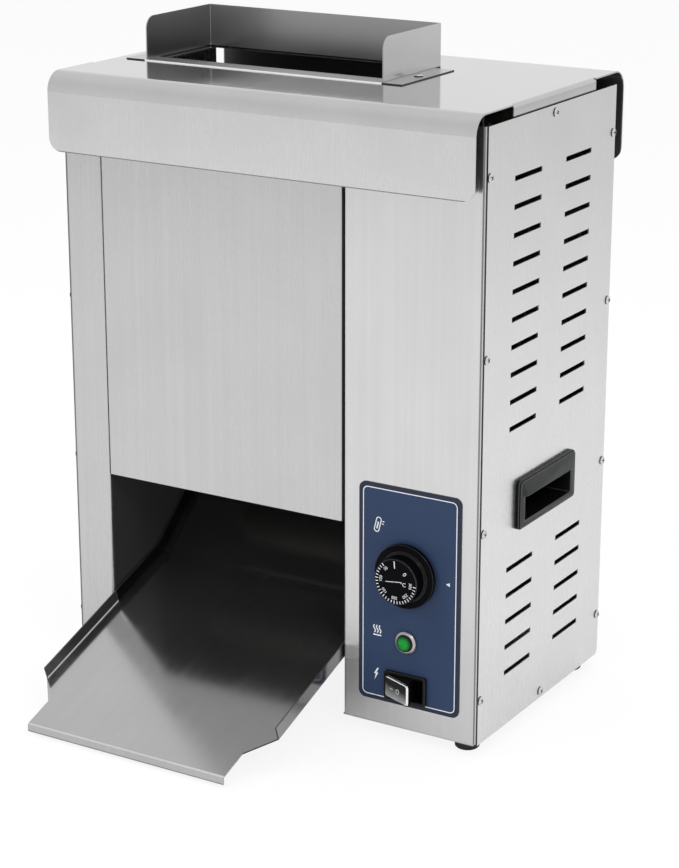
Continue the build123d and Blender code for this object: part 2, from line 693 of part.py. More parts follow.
def tray_ledges():
    """Sloping angles on the chamber walls that carry the tray."""
    slope = math.atan(TRAY_SLOPE)
    drop = SHEET + LEDGE_GAP
    length = (LEDGE_END - LEDGE_START) / math.cos(slope)
    height = TRAY_HEIGHT + TRAY_SLOPE * LEDGE_START
    ledges = []
    for wall, inward in ((LEFT_WALL, 1), (RIGHT_WALL, -1)):
        start = Plane(
            origin=(wall, LEDGE_START + drop * math.sin(slope), height - drop * math.cos(slope)),
            x_dir=(1, 0, 0),
            z_dir=(0, math.cos(slope), math.sin(slope)),
        )
        angle = Polyline(
            (0, 0),
            (inward * LEDGE_WIDTH, 0),
            (inward * LEDGE_WIDTH, SHEET),
            (inward * SHEET, SHEET),
            (inward * SHEET, LEDGE_LEG),
            (0, LEDGE_LEG),
            close=True,
        )
        ledges.append(extrude(start * make_face(angle.edges()), amount=length))
    return ledges


def platen():
    """Upright heated plate, bored for the cartridge heaters and the sensing bulb."""
    half = PLATEN_WIDTH / 2
    section = Rectangle(PLATEN_WIDTH, PLATEN_THICKNESS)
    section = fillet(section.vertices(), PLATEN_EDGE)
    plate = prism(Pos(CHAMBER_X, PLATEN_Y) * section, "Z", PLATEN_BASE, PLATEN_TOP)
    for z in heater_heights():
        bore = HEATER_RADIUS + HEATER_FIT
        plate -= rod("X", (PLATEN_Y, z), bore, CHAMBER_X - half - SPARE, CHAMBER_X + half - SPARE)
    bulb_end = CHAMBER_X + half - BULB_LENGTH - HEATER_FIT
    plate -= rod("X", (PLATEN_Y, BULB_Z), BULB_RADIUS + HEATER_FIT, bulb_end, CHAMBER_X + half + SPARE)
    return plate


def heaters():
    """Cartridge heaters, pushed in from the left housing."""
    tip = CHAMBER_X + PLATEN_WIDTH / 2 - SPARE
    tail = LEFT_WALL - SHEET - HEATER_TAIL
    return [rod("X", (PLATEN_Y, z), HEATER_RADIUS, tail, tip) for z in heater_heights()]


def platen_spacers():
    """Round spacers between the platen's ends and the chamber walls."""
    half = PLATEN_WIDTH / 2
    left = [rod("X", (PLATEN_Y, z), SPACER_RADIUS, LEFT_WALL, CHAMBER_X - half) for z in spacer_heights()]
    right = [rod("X", (PLATEN_Y, z), SPACER_RADIUS, CHAMBER_X + half, RIGHT_WALL) for z in spacer_heights()]
    return left + right


def bun_divider():
    """Folded roof on the platen that parts the two bun halves."""
    reach = PLATEN_THICKNESS / 2
    seat = PLATEN_TOP + SHEET * reach / math.hypot(reach, DIVIDER_HEIGHT)
    run = [(PLATEN_Y + reach, seat), (PLATEN_Y, seat + DIVIDER_HEIGHT), (PLATEN_Y - reach, seat)]
    half = PLATEN_WIDTH / 2 - PLATEN_EDGE
    return folded_sheet(run, SHEET, [BEND], "X", CHAMBER_X - half, CHAMBER_X + half)


def belt(y):
    """Endless belt round a drive roller and an idler roller."""
    inner = ROLLER_RADIUS + BELT_GAP
    outer = inner + BELT_THICKNESS
    span = IDLER_HEIGHT - DRIVE_HEIGHT
    middle = Pos(y, (DRIVE_HEIGHT + IDLER_HEIGHT) / 2) * Rot(0, 0, 90)
    loop = SlotCenterToCenter(span, 2 * outer) - SlotCenterToCenter(span, 2 * inner)
    half = PLATEN_WIDTH / 2 - BELT_MARGIN
    return prism(middle * loop, "X", CHAMBER_X - half, CHAMBER_X + half)


def roller(y, z, shaft_end):
    """Plain roller on a through shaft."""
    half = PLATEN_WIDTH / 2 + ROLLER_SPARE
    drum = rod("X", (y, z), ROLLER_RADIUS, CHAMBER_X - half, CHAMBER_X + half)
    shaft_start = LEFT_WALL - SHEET - BUSH_FLANGE - SHAFT_TAIL
    return drum + rod("X", (y, z), SHAFT_RADIUS, shaft_start, shaft_end)


def shaft_bushes():
    """Flanged bushes that carry the roller shafts in both chamber walls."""
    bushes = []
    for wall, out in ((LEFT_WALL, -1), (RIGHT_WALL, 1)):
        back = wall + out * SHEET
        for place in roller_places():
            flange_end = back + out * BUSH_FLANGE
            bush = rod("X", place, BUSH_RADIUS, *sorted((wall - out * BUSH_NOSE, flange_end)))
            bush += rod("X", place, BUSH_FLANGE_RADIUS, *sorted((back, flange_end)))
            bush -= rod("X", place, SHAFT_RADIUS + RUN_FIT, wall - SPARE, wall + SPARE)
            bushes.append(bush)
    return bushes


def gear_y(index):
    """Axis of one gear of the row."""
    return FRONT_ROLLER_Y + index * GEAR_PITCH_DIAMETER


def involute(angle):
    """Involute function of a pressure angle."""
    return math.tan(angle) - angle


def gear(index):
    """Spur gear with involute flanks; every second one is turned by half a tooth to mesh."""
    pitch = GEAR_PITCH_DIAMETER / 2
    pressure = math.radians(PRESSURE_ANGLE)
    base = pitch * math.cos(pressure)
    root = pitch - DEDENDUM * GEAR_MODULE
    tip = pitch + ADDENDUM * GEAR_MODULE
    half_tooth = (math.pi * pitch / GEAR_TEETH - GEAR_BACKLASH) / (2 * pitch)
    flank = []
    for radius in (base, pitch, tip):
        lean = half_tooth + involute(pressure) - involute(math.acos(base / radius))
        flank.append((radius, lean))
    flank.insert(0, (root, flank[0][1]))
    tooth = [(radius, -lean) for radius, lean in flank] + flank[::-1]
    step = 2 * math.pi / GEAR_TEETH
    shift = (index % 2) * step / 2
    outline = []
    for number in range(GEAR_TEETH):
        for radius, lean in tooth:
            turn = number * step + shift + lean
            outline.append((radius * math.cos(turn), radius * math.sin(turn)))
    face = make_face(Polyline(*outline, close=True).edges())
    face -= Circle(SHAFT_RADIUS + RUN_FIT)
    return prism(Pos(gear_y(index), DRIVE_HEIGHT) * face, "X", GEAR_START, GEAR_END)


def gear_studs():
    """Fixed studs of the two middle gears, with a collar behind and a clip in front."""
    studs = []
    for index in (1, 2):
        place = (gear_y(index), DRIVE_HEIGHT)
        clip_start = GEAR_END + STUD_PLAY
        stud = rod("X", place, SHAFT_RADIUS, WALL_BACK, clip_start + STUD_CLIP)
        stud += rod("X", place, STUD_COLLAR, WALL_BACK, GEAR_START - STUD_PLAY)
        stud += rod("X", place, STUD_COLLAR, clip_start, clip_start + STUD_CLIP)
        studs.append(stud)
    return studs


def motor_bracket():
    """Hat-shaped bracket that carries the motor over the gears."""
    foot = WALL_BACK + SHEET
    low = DRIVE_HEIGHT - BRACKET_HALF_HEIGHT
    high = DRIVE_HEIGHT + BRACKET_HALF_HEIGHT
    run = [
        (foot, low - BRACKET_FOOT),
        (foot, low),
        (GEARBOX_START, low),
        (GEARBOX_START, high),
        (foot, high),
        (foot, high + BRACKET_FOOT),
    ]
    start = FRONT_ROLLER_Y - BRACKET_DEPTH / 2
    hat = folded_sheet(run, SHEET, [BEND] * 4, "Y", start, start + BRACKET_DEPTH)
    bore = SHAFT_RADIUS + BRACKET_BORE_SPARE
    return hat - rod("X", (FRONT_ROLLER_Y, DRIVE_HEIGHT), bore, GEARBOX_START - SPARE, GEARBOX_START + SPARE)


def gear_motor():
    """Hollow-shaft gearbox with a round motor behind it."""
    place = (FRONT_ROLLER_Y, DRIVE_HEIGHT)
    case = fillet(Rectangle(GEARBOX_WIDTH, GEARBOX_HEIGHT).vertices(), GEARBOX_EDGE)
    motor = prism(Pos(*place) * case, "X", GEARBOX_START, GEARBOX_END)
    motor += rod("X", place, MOTOR_RADIUS, GEARBOX_END, MOTOR_END)
    depth = SHAFT_ENGAGEMENT + STUD_PLAY
    return motor - rod("X", place, SHAFT_RADIUS + RUN_FIT, GEARBOX_START - SPARE, GEARBOX_START + depth)


def control_plate():
    """Rounded plate behind the controls."""
    plate = RectangleRounded(PLATE_WIDTH, PLATE_HEIGHT, PLATE_CORNER)
    place = Pos(PLATE_LEFT + PLATE_WIDTH / 2, BASE + PLATE_BASE + PLATE_HEIGHT / 2)
    return prism(place * plate, "Y", -PLATE_THICKNESS, 0) - control_cuts()


def thermostat_body():
    """Thermostat box behind the column, with a threaded neck through it."""
    half_width = THERMOSTAT_WIDTH / 2
    half_height = THERMOSTAT_HEIGHT / 2
    body = block(
        (CONTROL_X - half_width, CONTROL_X + half_width),
        (SHEET, SHEET + THERMOSTAT_DEPTH),
        (KNOB_Z - half_height, KNOB_Z + half_height),
    )
    place = (CONTROL_X, KNOB_Z)
    body += rod("Y", place, THERMOSTAT_NECK, -PLATE_THICKNESS, SHEET)
    return body - rod("Y", place, SPINDLE_RADIUS + RUN_FIT, -SPARE, SHEET + SPINDLE_DEPTH + STUD_PLAY)


def knob_face():
    """Place of the knob's flat face along Y."""
    return -PLATE_THICKNESS - KNOB_LIFT - SKIRT_THICKNESS - STEP_THICKNESS - DIAL_HEIGHT


def thermostat_spindle():
    """Spindle from the thermostat into the knob."""
    return rod("Y", (CONTROL_X, KNOB_Z), SPINDLE_RADIUS, knob_face() + KNOB_CROWN, SHEET + SPINDLE_DEPTH)


def thermostat_knob():
    """Stepped knob: skirt, ring and a slightly tapered dial."""
    back = -PLATE_THICKNESS - KNOB_LIFT
    skirt = back - SKIRT_THICKNESS
    ring = skirt - STEP_THICKNESS
    face = knob_face()
    bore = SPINDLE_RADIUS + RUN_FIT
    profile = [
        (bore, back),
        (SKIRT_RADIUS, back),
        (SKIRT_RADIUS, skirt),
        (STEP_RADIUS, skirt),
        (STEP_RADIUS, ring),
        (DIAL_BASE_RADIUS, ring),
        (DIAL_RADIUS, face + DIAL_EDGE),
        (DIAL_RADIUS - DIAL_EDGE, face),
        (0, face),
        (0, face + KNOB_CROWN),
        (bore, face + KNOB_CROWN),
    ]
    return turned(profile, CONTROL_X, KNOB_Z)


def sensing_tube():
    """Sensing bulb in the platen and the thin tube from it to the thermostat."""
    mouth = CHAMBER_X + PLATEN_WIDTH / 2
    bulb = rod("X", (PLATEN_Y, BULB_Z), BULB_RADIUS, mouth - BULB_LENGTH, mouth)
    back = SHEET + THERMOSTAT_DEPTH
    path = FilletPolyline(
        (mouth, PLATEN_Y, BULB_Z),
        (CAPILLARY_X, PLATEN_Y, BULB_Z),
        (CAPILLARY_X, back + CAPILLARY_REACH, KNOB_Z),
        (CONTROL_X, back + CAPILLARY_REACH, KNOB_Z),
        (CONTROL_X, back, KNOB_Z),
        radius=CAPILLARY_BEND,
    )
    tube = sweep(Plane(origin=path @ 0, z_dir=path % 0) * Circle(CAPILLARY_RADIUS), path)
    return bulb + tube


def lamp_bezel():
    """Bright ring round the pilot lamp."""
    front = -PLATE_THICKNESS - BEZEL_THICKNESS
    profile = [
        (LENS_RADIUS + RUN_FIT, -PLATE_THICKNESS),
        (BEZEL_RADIUS, -PLATE_THICKNESS),
        (BEZEL_RADIUS, front + BEZEL_CHAMFER),
        (BEZEL_RADIUS - BEZEL_CHAMFER, front),
        (LENS_RADIUS + RUN_FIT, front),
    ]
    return turned(profile, CONTROL_X, LAMP_Z)


def lamp_lens():
    """Domed lens of the pilot lamp."""
    shoulder = -PLATE_THICKNESS - LENS_LIFT
    crown = shoulder - LENS_DOME
    ball = (LENS_RADIUS**2 + LENS_DOME**2) / (2 * LENS_DOME)
    half = LENS_RADIUS / 2
    back = -PLATE_THICKNESS
    side = Polyline((0, crown), (0, back), (LENS_RADIUS, back), (LENS_RADIUS, shoulder))
    between = (half, crown + ball - math.sqrt(ball**2 - half**2))
    dome = ThreePointArc((LENS_RADIUS, shoulder), between, (0, crown))
    return Pos(CONTROL_X, 0, LAMP_Z) * revolve(make_face(side.edges() + dome.edges()), Axis.Y)


def lamp_body():
    """Lamp holder behind the plate, with its nut on the column."""
    place = (CONTROL_X, LAMP_Z)
    body = rod("Y", place, LAMP_RADIUS, -PLATE_THICKNESS, LAMP_DEPTH)
    return body + rod("Y", place, LAMP_NUT_RADIUS, SHEET, SHEET + LAMP_NUT)


def switch_pocket_width():
    """Width of the rocker's pocket, with room for its swing."""
    return ROCKER_LENGTH + 2 * ROCKER_SWEEP


def switch_pocket_height():
    """Height of the rocker's pocket."""
    return ROCKER_WIDTH + 2 * ROCKER_PLAY


def switch_housing():
    """Switch frame on the plate with its body behind, hollow for the rocker."""
    place = Pos(CONTROL_X, SWITCH_Z)
    pocket = Rectangle(switch_pocket_width(), switch_pocket_height())
    outside = (switch_pocket_width() + 2 * SWITCH_WALL, switch_pocket_height() + 2 * SWITCH_WALL)
    frame = RectangleRounded(SWITCH_WIDTH, SWITCH_FRAME_HEIGHT, SWITCH_CORNER)
    front = -PLATE_THICKNESS - SWITCH_FRAME
    body = prism(place * frame, "Y", front, -PLATE_THICKNESS)
    body += prism(place * Rectangle(*outside), "Y", -PLATE_THICKNESS, SWITCH_DEPTH)
    body -= prism(place * pocket, "Y", front - SPARE, POCKET_DEPTH)
    reach = outside[1] / 2 + ROCKER_PLAY
    hole = PIVOT_RADIUS + RUN_FIT
    return body - rod("Z", (CONTROL_X, PIVOT_DEPTH), hole, SWITCH_Z - reach, SWITCH_Z + reach)


def power_rocker():
    """Rocker on an upright pin, tipped so that its right end stands out."""
    half = ROCKER_LENGTH / 2
    root = ROCKER_ROOT / 2
    section = Polyline(
        (-half, -ROCKER_LIFT),
        (half, -ROCKER_LIFT),
        (root, PIVOT_RADIUS),
        (-root, PIVOT_RADIUS),
        close=True,
    )
    rise = ROCKER_WIDTH / 2
    profile = make_face(section.edges())
    profile = fillet(profile.vertices().group_by(Axis.Y)[0], ROCKER_EDGE)
    rocker = prism(profile, "Z", -rise, rise)
    pin = rise + ROCKER_PLAY + SWITCH_WALL
    rocker += rod("Z", (0, 0), PIVOT_RADIUS, -pin, pin)
    return Pos(CONTROL_X, PIVOT_DEPTH, SWITCH_Z) * Rot(0, 0, -ROCKER_TILT) * rocker


def hood(front, low):
    """Wedge on the rim's face, proud along its lower edge and drawn in at both ends."""
    top = HANDLE_Z + HANDLE_RISE / 2 - HANDLE_CHAMFER
    root = front - HOOD_WALL
    edge = front + HOOD_PROUD
    ends = (HANDLE_Y - HANDLE_LENGTH / 2 + HANDLE_CORNER, HANDLE_Y + HANDLE_LENGTH / 2 - HANDLE_CORNER)
    side_view = Polyline((root, top), (front, top), (edge, low), (root, low), close=True)
    plan = Polyline(
        (root, ends[0]),
        (front, ends[0]),
        (edge, ends[0] + HOOD_INSET),
        (edge, ends[1] - HOOD_INSET),
        (front, ends[1]),
        (root, ends[1]),
        close=True,
    )
    wedge = prism(make_face(side_view.edges()), "Y", *ends)
    return wedge & prism(make_face(plan.edges()), "Z", low, top)


def handle(side):
    """Moulded pull: a rim on the panel, a hood over its upper part and a pocket for the fingers."""
    rim = RectangleRounded(HANDLE_LENGTH, HANDLE_RISE, HANDLE_CORNER)
    pull = prism(Pos(HANDLE_Y, HANDLE_Z) * rim, "X", HALF_WIDTH, HALF_WIDTH + HANDLE_PROUD)
    pull = chamfer(pull.faces().sort_by(Axis.X)[-1].edges(), HANDLE_CHAMFER)
    tub = Pos(HANDLE_Y, HANDLE_Z) * Rectangle(HANDLE_TUB_LENGTH, HANDLE_TUB_RISE)
    pull += prism(tub, "X", HALF_WIDTH - GRIP_DEPTH - HANDLE_WALL, HALF_WIDTH)
    front = HALF_WIDTH + HANDLE_PROUD
    floor = HANDLE_Z - GRIP_FLOOR + HANDLE_WALL
    pocket_top = HANDLE_Z + HANDLE_TUB_RISE / 2 - HANDLE_WALL
    hood_low = HANDLE_Z + HANDLE_RISE / 2 - HOOD_DROP
    grip = Polyline(
        (front + SPARE, floor),
        (HALF_WIDTH - GRIP_DEPTH, floor),
        (HALF_WIDTH - GRIP_DEPTH, pocket_top),
        (HALF_WIDTH - GRIP_INSET, pocket_top),
        (front - HOOD_WALL, hood_low),
        (front + SPARE, hood_low),
        close=True,
    )
    start = HANDLE_Y - GRIP_LENGTH / 2
    pull -= prism(make_face(grip.edges()), "Y", start, start + GRIP_LENGTH)
    pull += hood(front, hood_low)
    return pull if side > 0 else mirror(pull, Plane.YZ)


def cable_gland():
    """Cable inlet through the rear of the right housing."""
    place = (GLAND_X, GLAND_Z)
    hexagon = Pos(*place) * RegularPolygon(GLAND_NUT, 6)
    gland = prism(hexagon, "Y", BODY_DEPTH, BODY_DEPTH + GLAND_HEX)
    gland += rod("Y", place, GLAND_DOME, BODY_DEPTH + GLAND_HEX, BODY_DEPTH + 2 * GLAND_HEX)
    inside = BODY_DEPTH - SHEET
    gland += rod("Y", place, GLAND_RADIUS, inside - GLAND_INNER_NUT, BODY_DEPTH)
    gland += prism(hexagon, "Y", inside - GLAND_INNER_NUT, inside)
    return gland - rod("Y", place, GLAND_BORE, inside - SPARE, BODY_DEPTH + 2 * GLAND_HEX + SPARE)


def terminal_block():
    """Row of terminals on the base pan."""
    length = TERMINAL_WAYS * TERMINAL_PITCH
    strip = block(
        (TERMINAL_X, TERMINAL_X + length),
        (TERMINAL_Y, TERMINAL_Y + TERMINAL_DEPTH),
        (PAN_TOP, PAN_TOP + TERMINAL_HEIGHT),
    )
    top = PAN_TOP + TERMINAL_HEIGHT
    for way in range(TERMINAL_WAYS):
        place = (TERMINAL_X + (way + 0.5) * TERMINAL_PITCH, TERMINAL_Y + TERMINAL_DEPTH / 2)
        strip -= rod("Z", place, TERMINAL_WELL, top - TERMINAL_WELL_DEPTH, top + SPARE)
    return strip


os.makedirs("parts", exist_ok=True)
save("base_pan", base_pan())
save("feet", *feet())
save("left_housing", left_housing())
save("right_housing", right_housing())
save("left_side_panel", side_panel(-1))
save("right_side_panel", side_panel(1))
save("side_panel_screws", *side_panel_screws())
save("back_panel", back_panel())
save("back_panel_screws", *back_panel_screws())
save("front_panel", front_panel())
save("front_cross_bar", front_cross_bar())
save("rear_cross_bar", rear_cross_bar())
save("top_cover", top_cover())
save("bun_guide", bun_guide())
save("bun_guide_screws", *bun_guide_screws())
save("discharge_tray", discharge_tray())
save("tray_ledges", *tray_ledges())
save("platen", platen())
save("heaters", *heaters())
save("platen_spacers", *platen_spacers())
save("bun_divider", bun_divider())
save("front_belt", belt(FRONT_ROLLER_Y))
save("rear_belt", belt(REAR_ROLLER_Y))
save("front_drive_roller", roller(FRONT_ROLLER_Y, DRIVE_HEIGHT, GEARBOX_START + SHAFT_ENGAGEMENT))
save("rear_drive_roller", roller(REAR_ROLLER_Y, DRIVE_HEIGHT, GEAR_END + STUD_CLIP))
save("front_idler_roller", roller(FRONT_ROLLER_Y, IDLER_HEIGHT, GEAR_START))
save("rear_idler_roller", roller(REAR_ROLLER_Y, IDLER_HEIGHT, GEAR_START))
save("shaft_bushes", *shaft_bushes())
save("front_drive_gear", gear(0))
save("front_idler_gear", gear(1))
save("rear_idler_gear", gear(2))
save("rear_drive_gear", gear(3))
save("gear_studs", *gear_studs())
save("motor_bracket", motor_bracket())
save("gear_motor", gear_motor())
save("control_plate", control_plate())
save("thermostat_body", thermostat_body())
save("thermostat_spindle", thermostat_spindle())
save("thermostat_knob", thermostat_knob())
save("sensing_tube", sensing_tube())
save("lamp_bezel", lamp_bezel())
save("lamp_lens", lamp_lens())
save("lamp_body", lamp_body())
save("switch_housing", switch_housing())
save("power_rocker", power_rocker())
save("left_handle", handle(-1))
save("right_handle", handle(1))
save("cable_gland", cable_gland())
save("terminal_block", terminal_block())
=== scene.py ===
# %% [markdown]
# A bun toaster for a snack counter. Buns go into the open guide on top, pass between two belts and
# an upright hot plate, and slide out on the tray in front. Almost everything outside is folded
# stainless steel, so this lesson is mostly about sheet metal that looks like sheet metal.
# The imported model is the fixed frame: its solids stay where they are, and this file gives them
# their finishes, their small hardware and their prints.

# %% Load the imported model
import json
import math
from collections import namedtuple

import bmesh
import bpy
from mathutils import Matrix, Vector

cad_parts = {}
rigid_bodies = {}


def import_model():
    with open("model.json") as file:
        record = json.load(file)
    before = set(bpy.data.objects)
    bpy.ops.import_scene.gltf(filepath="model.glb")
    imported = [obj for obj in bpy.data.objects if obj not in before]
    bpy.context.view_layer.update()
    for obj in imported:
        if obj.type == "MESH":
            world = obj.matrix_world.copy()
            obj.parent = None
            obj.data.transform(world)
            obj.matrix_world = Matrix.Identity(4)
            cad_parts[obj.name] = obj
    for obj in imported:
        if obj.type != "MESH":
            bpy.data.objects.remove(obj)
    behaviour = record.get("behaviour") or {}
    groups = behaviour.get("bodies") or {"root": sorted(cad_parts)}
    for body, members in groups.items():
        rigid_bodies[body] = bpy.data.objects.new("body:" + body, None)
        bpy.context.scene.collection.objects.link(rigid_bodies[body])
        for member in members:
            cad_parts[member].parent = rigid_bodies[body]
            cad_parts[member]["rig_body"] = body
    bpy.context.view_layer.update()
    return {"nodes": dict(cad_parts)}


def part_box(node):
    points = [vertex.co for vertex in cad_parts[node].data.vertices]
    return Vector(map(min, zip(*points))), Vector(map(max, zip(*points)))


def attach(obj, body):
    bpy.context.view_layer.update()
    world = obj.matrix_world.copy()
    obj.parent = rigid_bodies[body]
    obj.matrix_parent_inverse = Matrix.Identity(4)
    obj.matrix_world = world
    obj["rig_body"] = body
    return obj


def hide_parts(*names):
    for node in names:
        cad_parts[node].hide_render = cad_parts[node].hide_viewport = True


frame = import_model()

nodes = frame["nodes"]

# %% [markdown]
# The camera comes first.
# Its place and focal length were found by lining up the straight edges of the cabinet and the
# two rows of vents with the picture. It has no roll and no shift.

# %% Camera
MM = 0.001
CAMERA_PLACE = (1.08398, -1.71478, 0.89691)
CAMERA_AIM = (-0.493458, 0.814545, -0.304983)
CAMERA_LENS = 98.735
CAMERA_SENSOR = 36.0
CAMERA_CLIP = (0.05, 60.0)


def set_up(thing, place, aim):
    """Camera or lamp put in its place and turned along a direction."""
    thing.location = place
    thing.rotation_mode = "QUATERNION"
    thing.rotation_quaternion = Vector(aim).to_track_quat("-Z", "Y")
    bpy.context.scene.collection.objects.link(thing)


lens = bpy.data.cameras.new("photo_camera")
lens.lens = CAMERA_LENS
lens.sensor_width = CAMERA_SENSOR
lens.clip_start, lens.clip_end = CAMERA_CLIP
camera = bpy.data.objects.new("photo_camera", lens)
set_up(camera, CAMERA_PLACE, CAMERA_AIM)
bpy.context.scene.camera = camera
bpy.context.scene.view_settings.view_transform = "Standard"
print("camera at", CAMERA_PLACE)

# %% [markdown]
# Finishes are built from shader nodes. In the editor each node is placed and wired by hand. Here one
# helper adds a node, sets it and feeds its inputs, so that a whole finish reads line by line, and
# short names stand for the steps that come up most.

# %% Small helpers for node trees
def feed(tree, socket, value):
    """Link a socket to another socket, or set its value."""
    if isinstance(value, bpy.types.NodeSocket):
        tree.links.new(value, socket)
    elif value is not None:
        socket.default_value = value


def put(tree, kind, inputs=(), **settings):
    """New node with its settings and its inputs, in order or by name, and what comes out of it."""
    step = tree.nodes.new(kind)
    for name, value in settings.items():
        setattr(step, name, value)
    for key, value in inputs.items() if isinstance(inputs, dict) else enumerate(inputs):
        feed(tree, step.inputs[key], value)
    return step.outputs


def maths(tree, operation, *values, clamp=False):
    """One step of arithmetic."""
    return put(tree, "ShaderNodeMath", values, operation=operation, use_clamp=clamp)[0]


def vector_maths(tree, operation, *values, output="Vector"):
    """One step of vector arithmetic."""
    return put(tree, "ShaderNodeVectorMath", values, operation=operation)[output]


def scaled(tree, vector, factor):
    """Vector or colour times a value."""
    return put(tree, "ShaderNodeVectorMath", {0: vector, "Scale": factor}, operation="SCALE")[0]


def remap(tree, value, low, high, out_low, out_high):
    """Value taken from one range to another, and held at its ends."""
    ends = {"From Min": low, "From Max": high, "To Min": out_low, "To Max": out_high}
    return put(tree, "ShaderNodeMapRange", {"Value": value, **ends})["Result"]


def blend_colour(tree, factor, first, second):
    """Mix of two colours."""
    step = tree.nodes.new("ShaderNodeMix")
    step.data_type = "RGBA"
    feed(tree, step.inputs["Factor"], factor)
    for label, value in (("A_Color", first), ("B_Color", second)):
        socket = next(s for s in step.inputs if s.identifier == label)
        feed(tree, socket, (*value, 1.0) if isinstance(value, tuple) else value)
    return next(s for s in step.outputs if s.identifier == "Result_Color")


def noise(tree, vector, scale, detail=2.0):
    """Soft noise between 0 and 1."""
    return put(tree, "ShaderNodeTexNoise", {"Vector": vector, "Scale": scale, "Detail": detail})["Fac"]


def axis_of(tree, vector, axis):
    """One coordinate of a vector."""
    return put(tree, "ShaderNodeSeparateXYZ", [vector])[axis]


def shares_of_sight(tree, to_camera, to_mirrors):
    """One value for camera rays, another for mirror and glass rays, and 0 for rays that carry light."""
    path = put(tree, "ShaderNodeLightPath")
    mirrors = maths(tree, "MAXIMUM", path["Is Glossy Ray"], path["Is Transmission Ray"])
    reflected = maths(tree, "MULTIPLY", mirrors, to_mirrors)
    return maths(tree, "MULTIPLY_ADD", path["Is Camera Ray"], to_camera, reflected)


def grey(value):
    """Neutral colour."""
    return (value, value, value)


print("helpers ready")

# %% [markdown]
# A product shot of polished steel is a picture of what the steel reflects. The photograph was made
# on a white sweep, with a slightly darker room behind the camera. So the floor and the world are
# white to the camera, and mirrors see white behind the machine and a greyer room in front of it. The
# floor shows its shadows to mirrors too, which puts soft dark reflections low on the steel. Two large
# lamps light the matt surfaces only, and a third also glints on edges and on the lens.

# %% White surround and lamps
WORLD_LIGHT = 0.74
WORLD_COLOUR = (*grey(1.0), 1.0)
ROOM_TONE = 0.84
ROOM_EDGES = (-0.6, 0.1)
FLOOR_REACH = 12.0
FLOOR_CORNERS = [(-1, -1), (1, -1), (1, 1), (-1, 1)]
FLOOR_COLOUR = (*grey(0.92), 1.0)
FLOOR_WHITE_TO_CAMERA = 0.88
FLOOR_WHITE_TO_MIRRORS = 0.15
LAMPS = {
    "soft_box_left": ((-1.6, -1.9, 2.0), 1.6, 22.0, False),
    "soft_box_right": ((1.9, -1.4, 2.1), 0.9, 20.0, True),
    "soft_box_top": ((0.2, 0.2, 2.6), 1.8, 22.0, False),
}
LAMP_AIM = Vector((0.0, 0.0, 0.3))

world = bpy.data.worlds.new("white_surround")
bpy.context.scene.world = world
world.use_nodes = True
sky = world.node_tree
towards = axis_of(sky, put(sky, "ShaderNodeTexCoord")["Generated"], "Y")
room = remap(sky, towards, *ROOM_EDGES, ROOM_TONE - WORLD_LIGHT, 1.0 - WORLD_LIGHT)
light_share = shares_of_sight(sky, 1.0 - WORLD_LIGHT, room)
feed(sky, sky.nodes["Background"].inputs["Strength"], maths(sky, "ADD", light_share, WORLD_LIGHT))
sky.nodes["Background"].inputs["Color"].default_value = WORLD_COLOUR

floor_mesh = bpy.data.meshes.new("floor")
floor_mesh.from_pydata([(x * FLOOR_REACH, y * FLOOR_REACH, 0) for x, y in FLOOR_CORNERS], [], [range(4)])
floor = bpy.data.objects.new("floor", floor_mesh)
bpy.context.scene.collection.objects.link(floor)
floor_paint = bpy.data.materials.new("pale_floor")
floor_paint.use_nodes = True
tree = floor_paint.node_tree
tree.nodes.remove(tree.nodes["Principled BSDF"])
matt = put(tree, "ShaderNodeBsdfDiffuse", {"Color": FLOOR_COLOUR})[0]
glow = put(tree, "ShaderNodeEmission")[0]
white_share = shares_of_sight(tree, FLOOR_WHITE_TO_CAMERA, FLOOR_WHITE_TO_MIRRORS)
surface = put(tree, "ShaderNodeMixShader", [white_share, matt, glow])[0]
feed(tree, tree.nodes["Material Output"].inputs["Surface"], surface)
floor_mesh.materials.append(floor_paint)

for name, (place, size, power, glints) in LAMPS.items():
    lamp = bpy.data.lights.new(name, "AREA")
    lamp.shape = "DISK"
    lamp.size = size
    lamp.energy = power
    stand = bpy.data.objects.new(name, lamp)
    stand.visible_glossy = glints
    set_up(stand, place, LAMP_AIM - Vector(place))
print("lamps:", len(LAMPS))

# %% [markdown]
# Several finishes share an effect. Brushed steel, the tray and the rollers all show fine parallel
# scratches, plastics share a moulded grain, and some sheets are painted black as shade only where
# they face the toasting chamber. Each effect is one node group, so that it is tuned in one place.

# %% Shared effects as node groups
FINE_SHARE = 0.4
BAND_SCALE = 0.16
DRIFT_SCALE = 0.02
DRIFT_DEPTH = 0.35
DRIFT_BASE = 0.82


def new_tree(kind, name, inputs, outputs):
    """Node tree with named sockets, what its inputs bring, and the identifiers of these."""
    tree = bpy.data.node_groups.new(name, kind)
    names = {}
    for label, socket in inputs.items():
        made = tree.interface.new_socket(name=label, in_out="INPUT", socket_type="NodeSocket" + socket)
        names[label] = made.identifier
    for label, socket in outputs.items():
        tree.interface.new_socket(name=label, in_out="OUTPUT", socket_type="NodeSocket" + socket)
    return tree, put(tree, "NodeGroupInput"), names


def new_group(name, inputs, outputs):
    """Shader node group that puts out values, and what its inputs bring."""
    return new_tree("ShaderNodeTree", name, inputs, dict.fromkeys(outputs, "Float"))[:2]


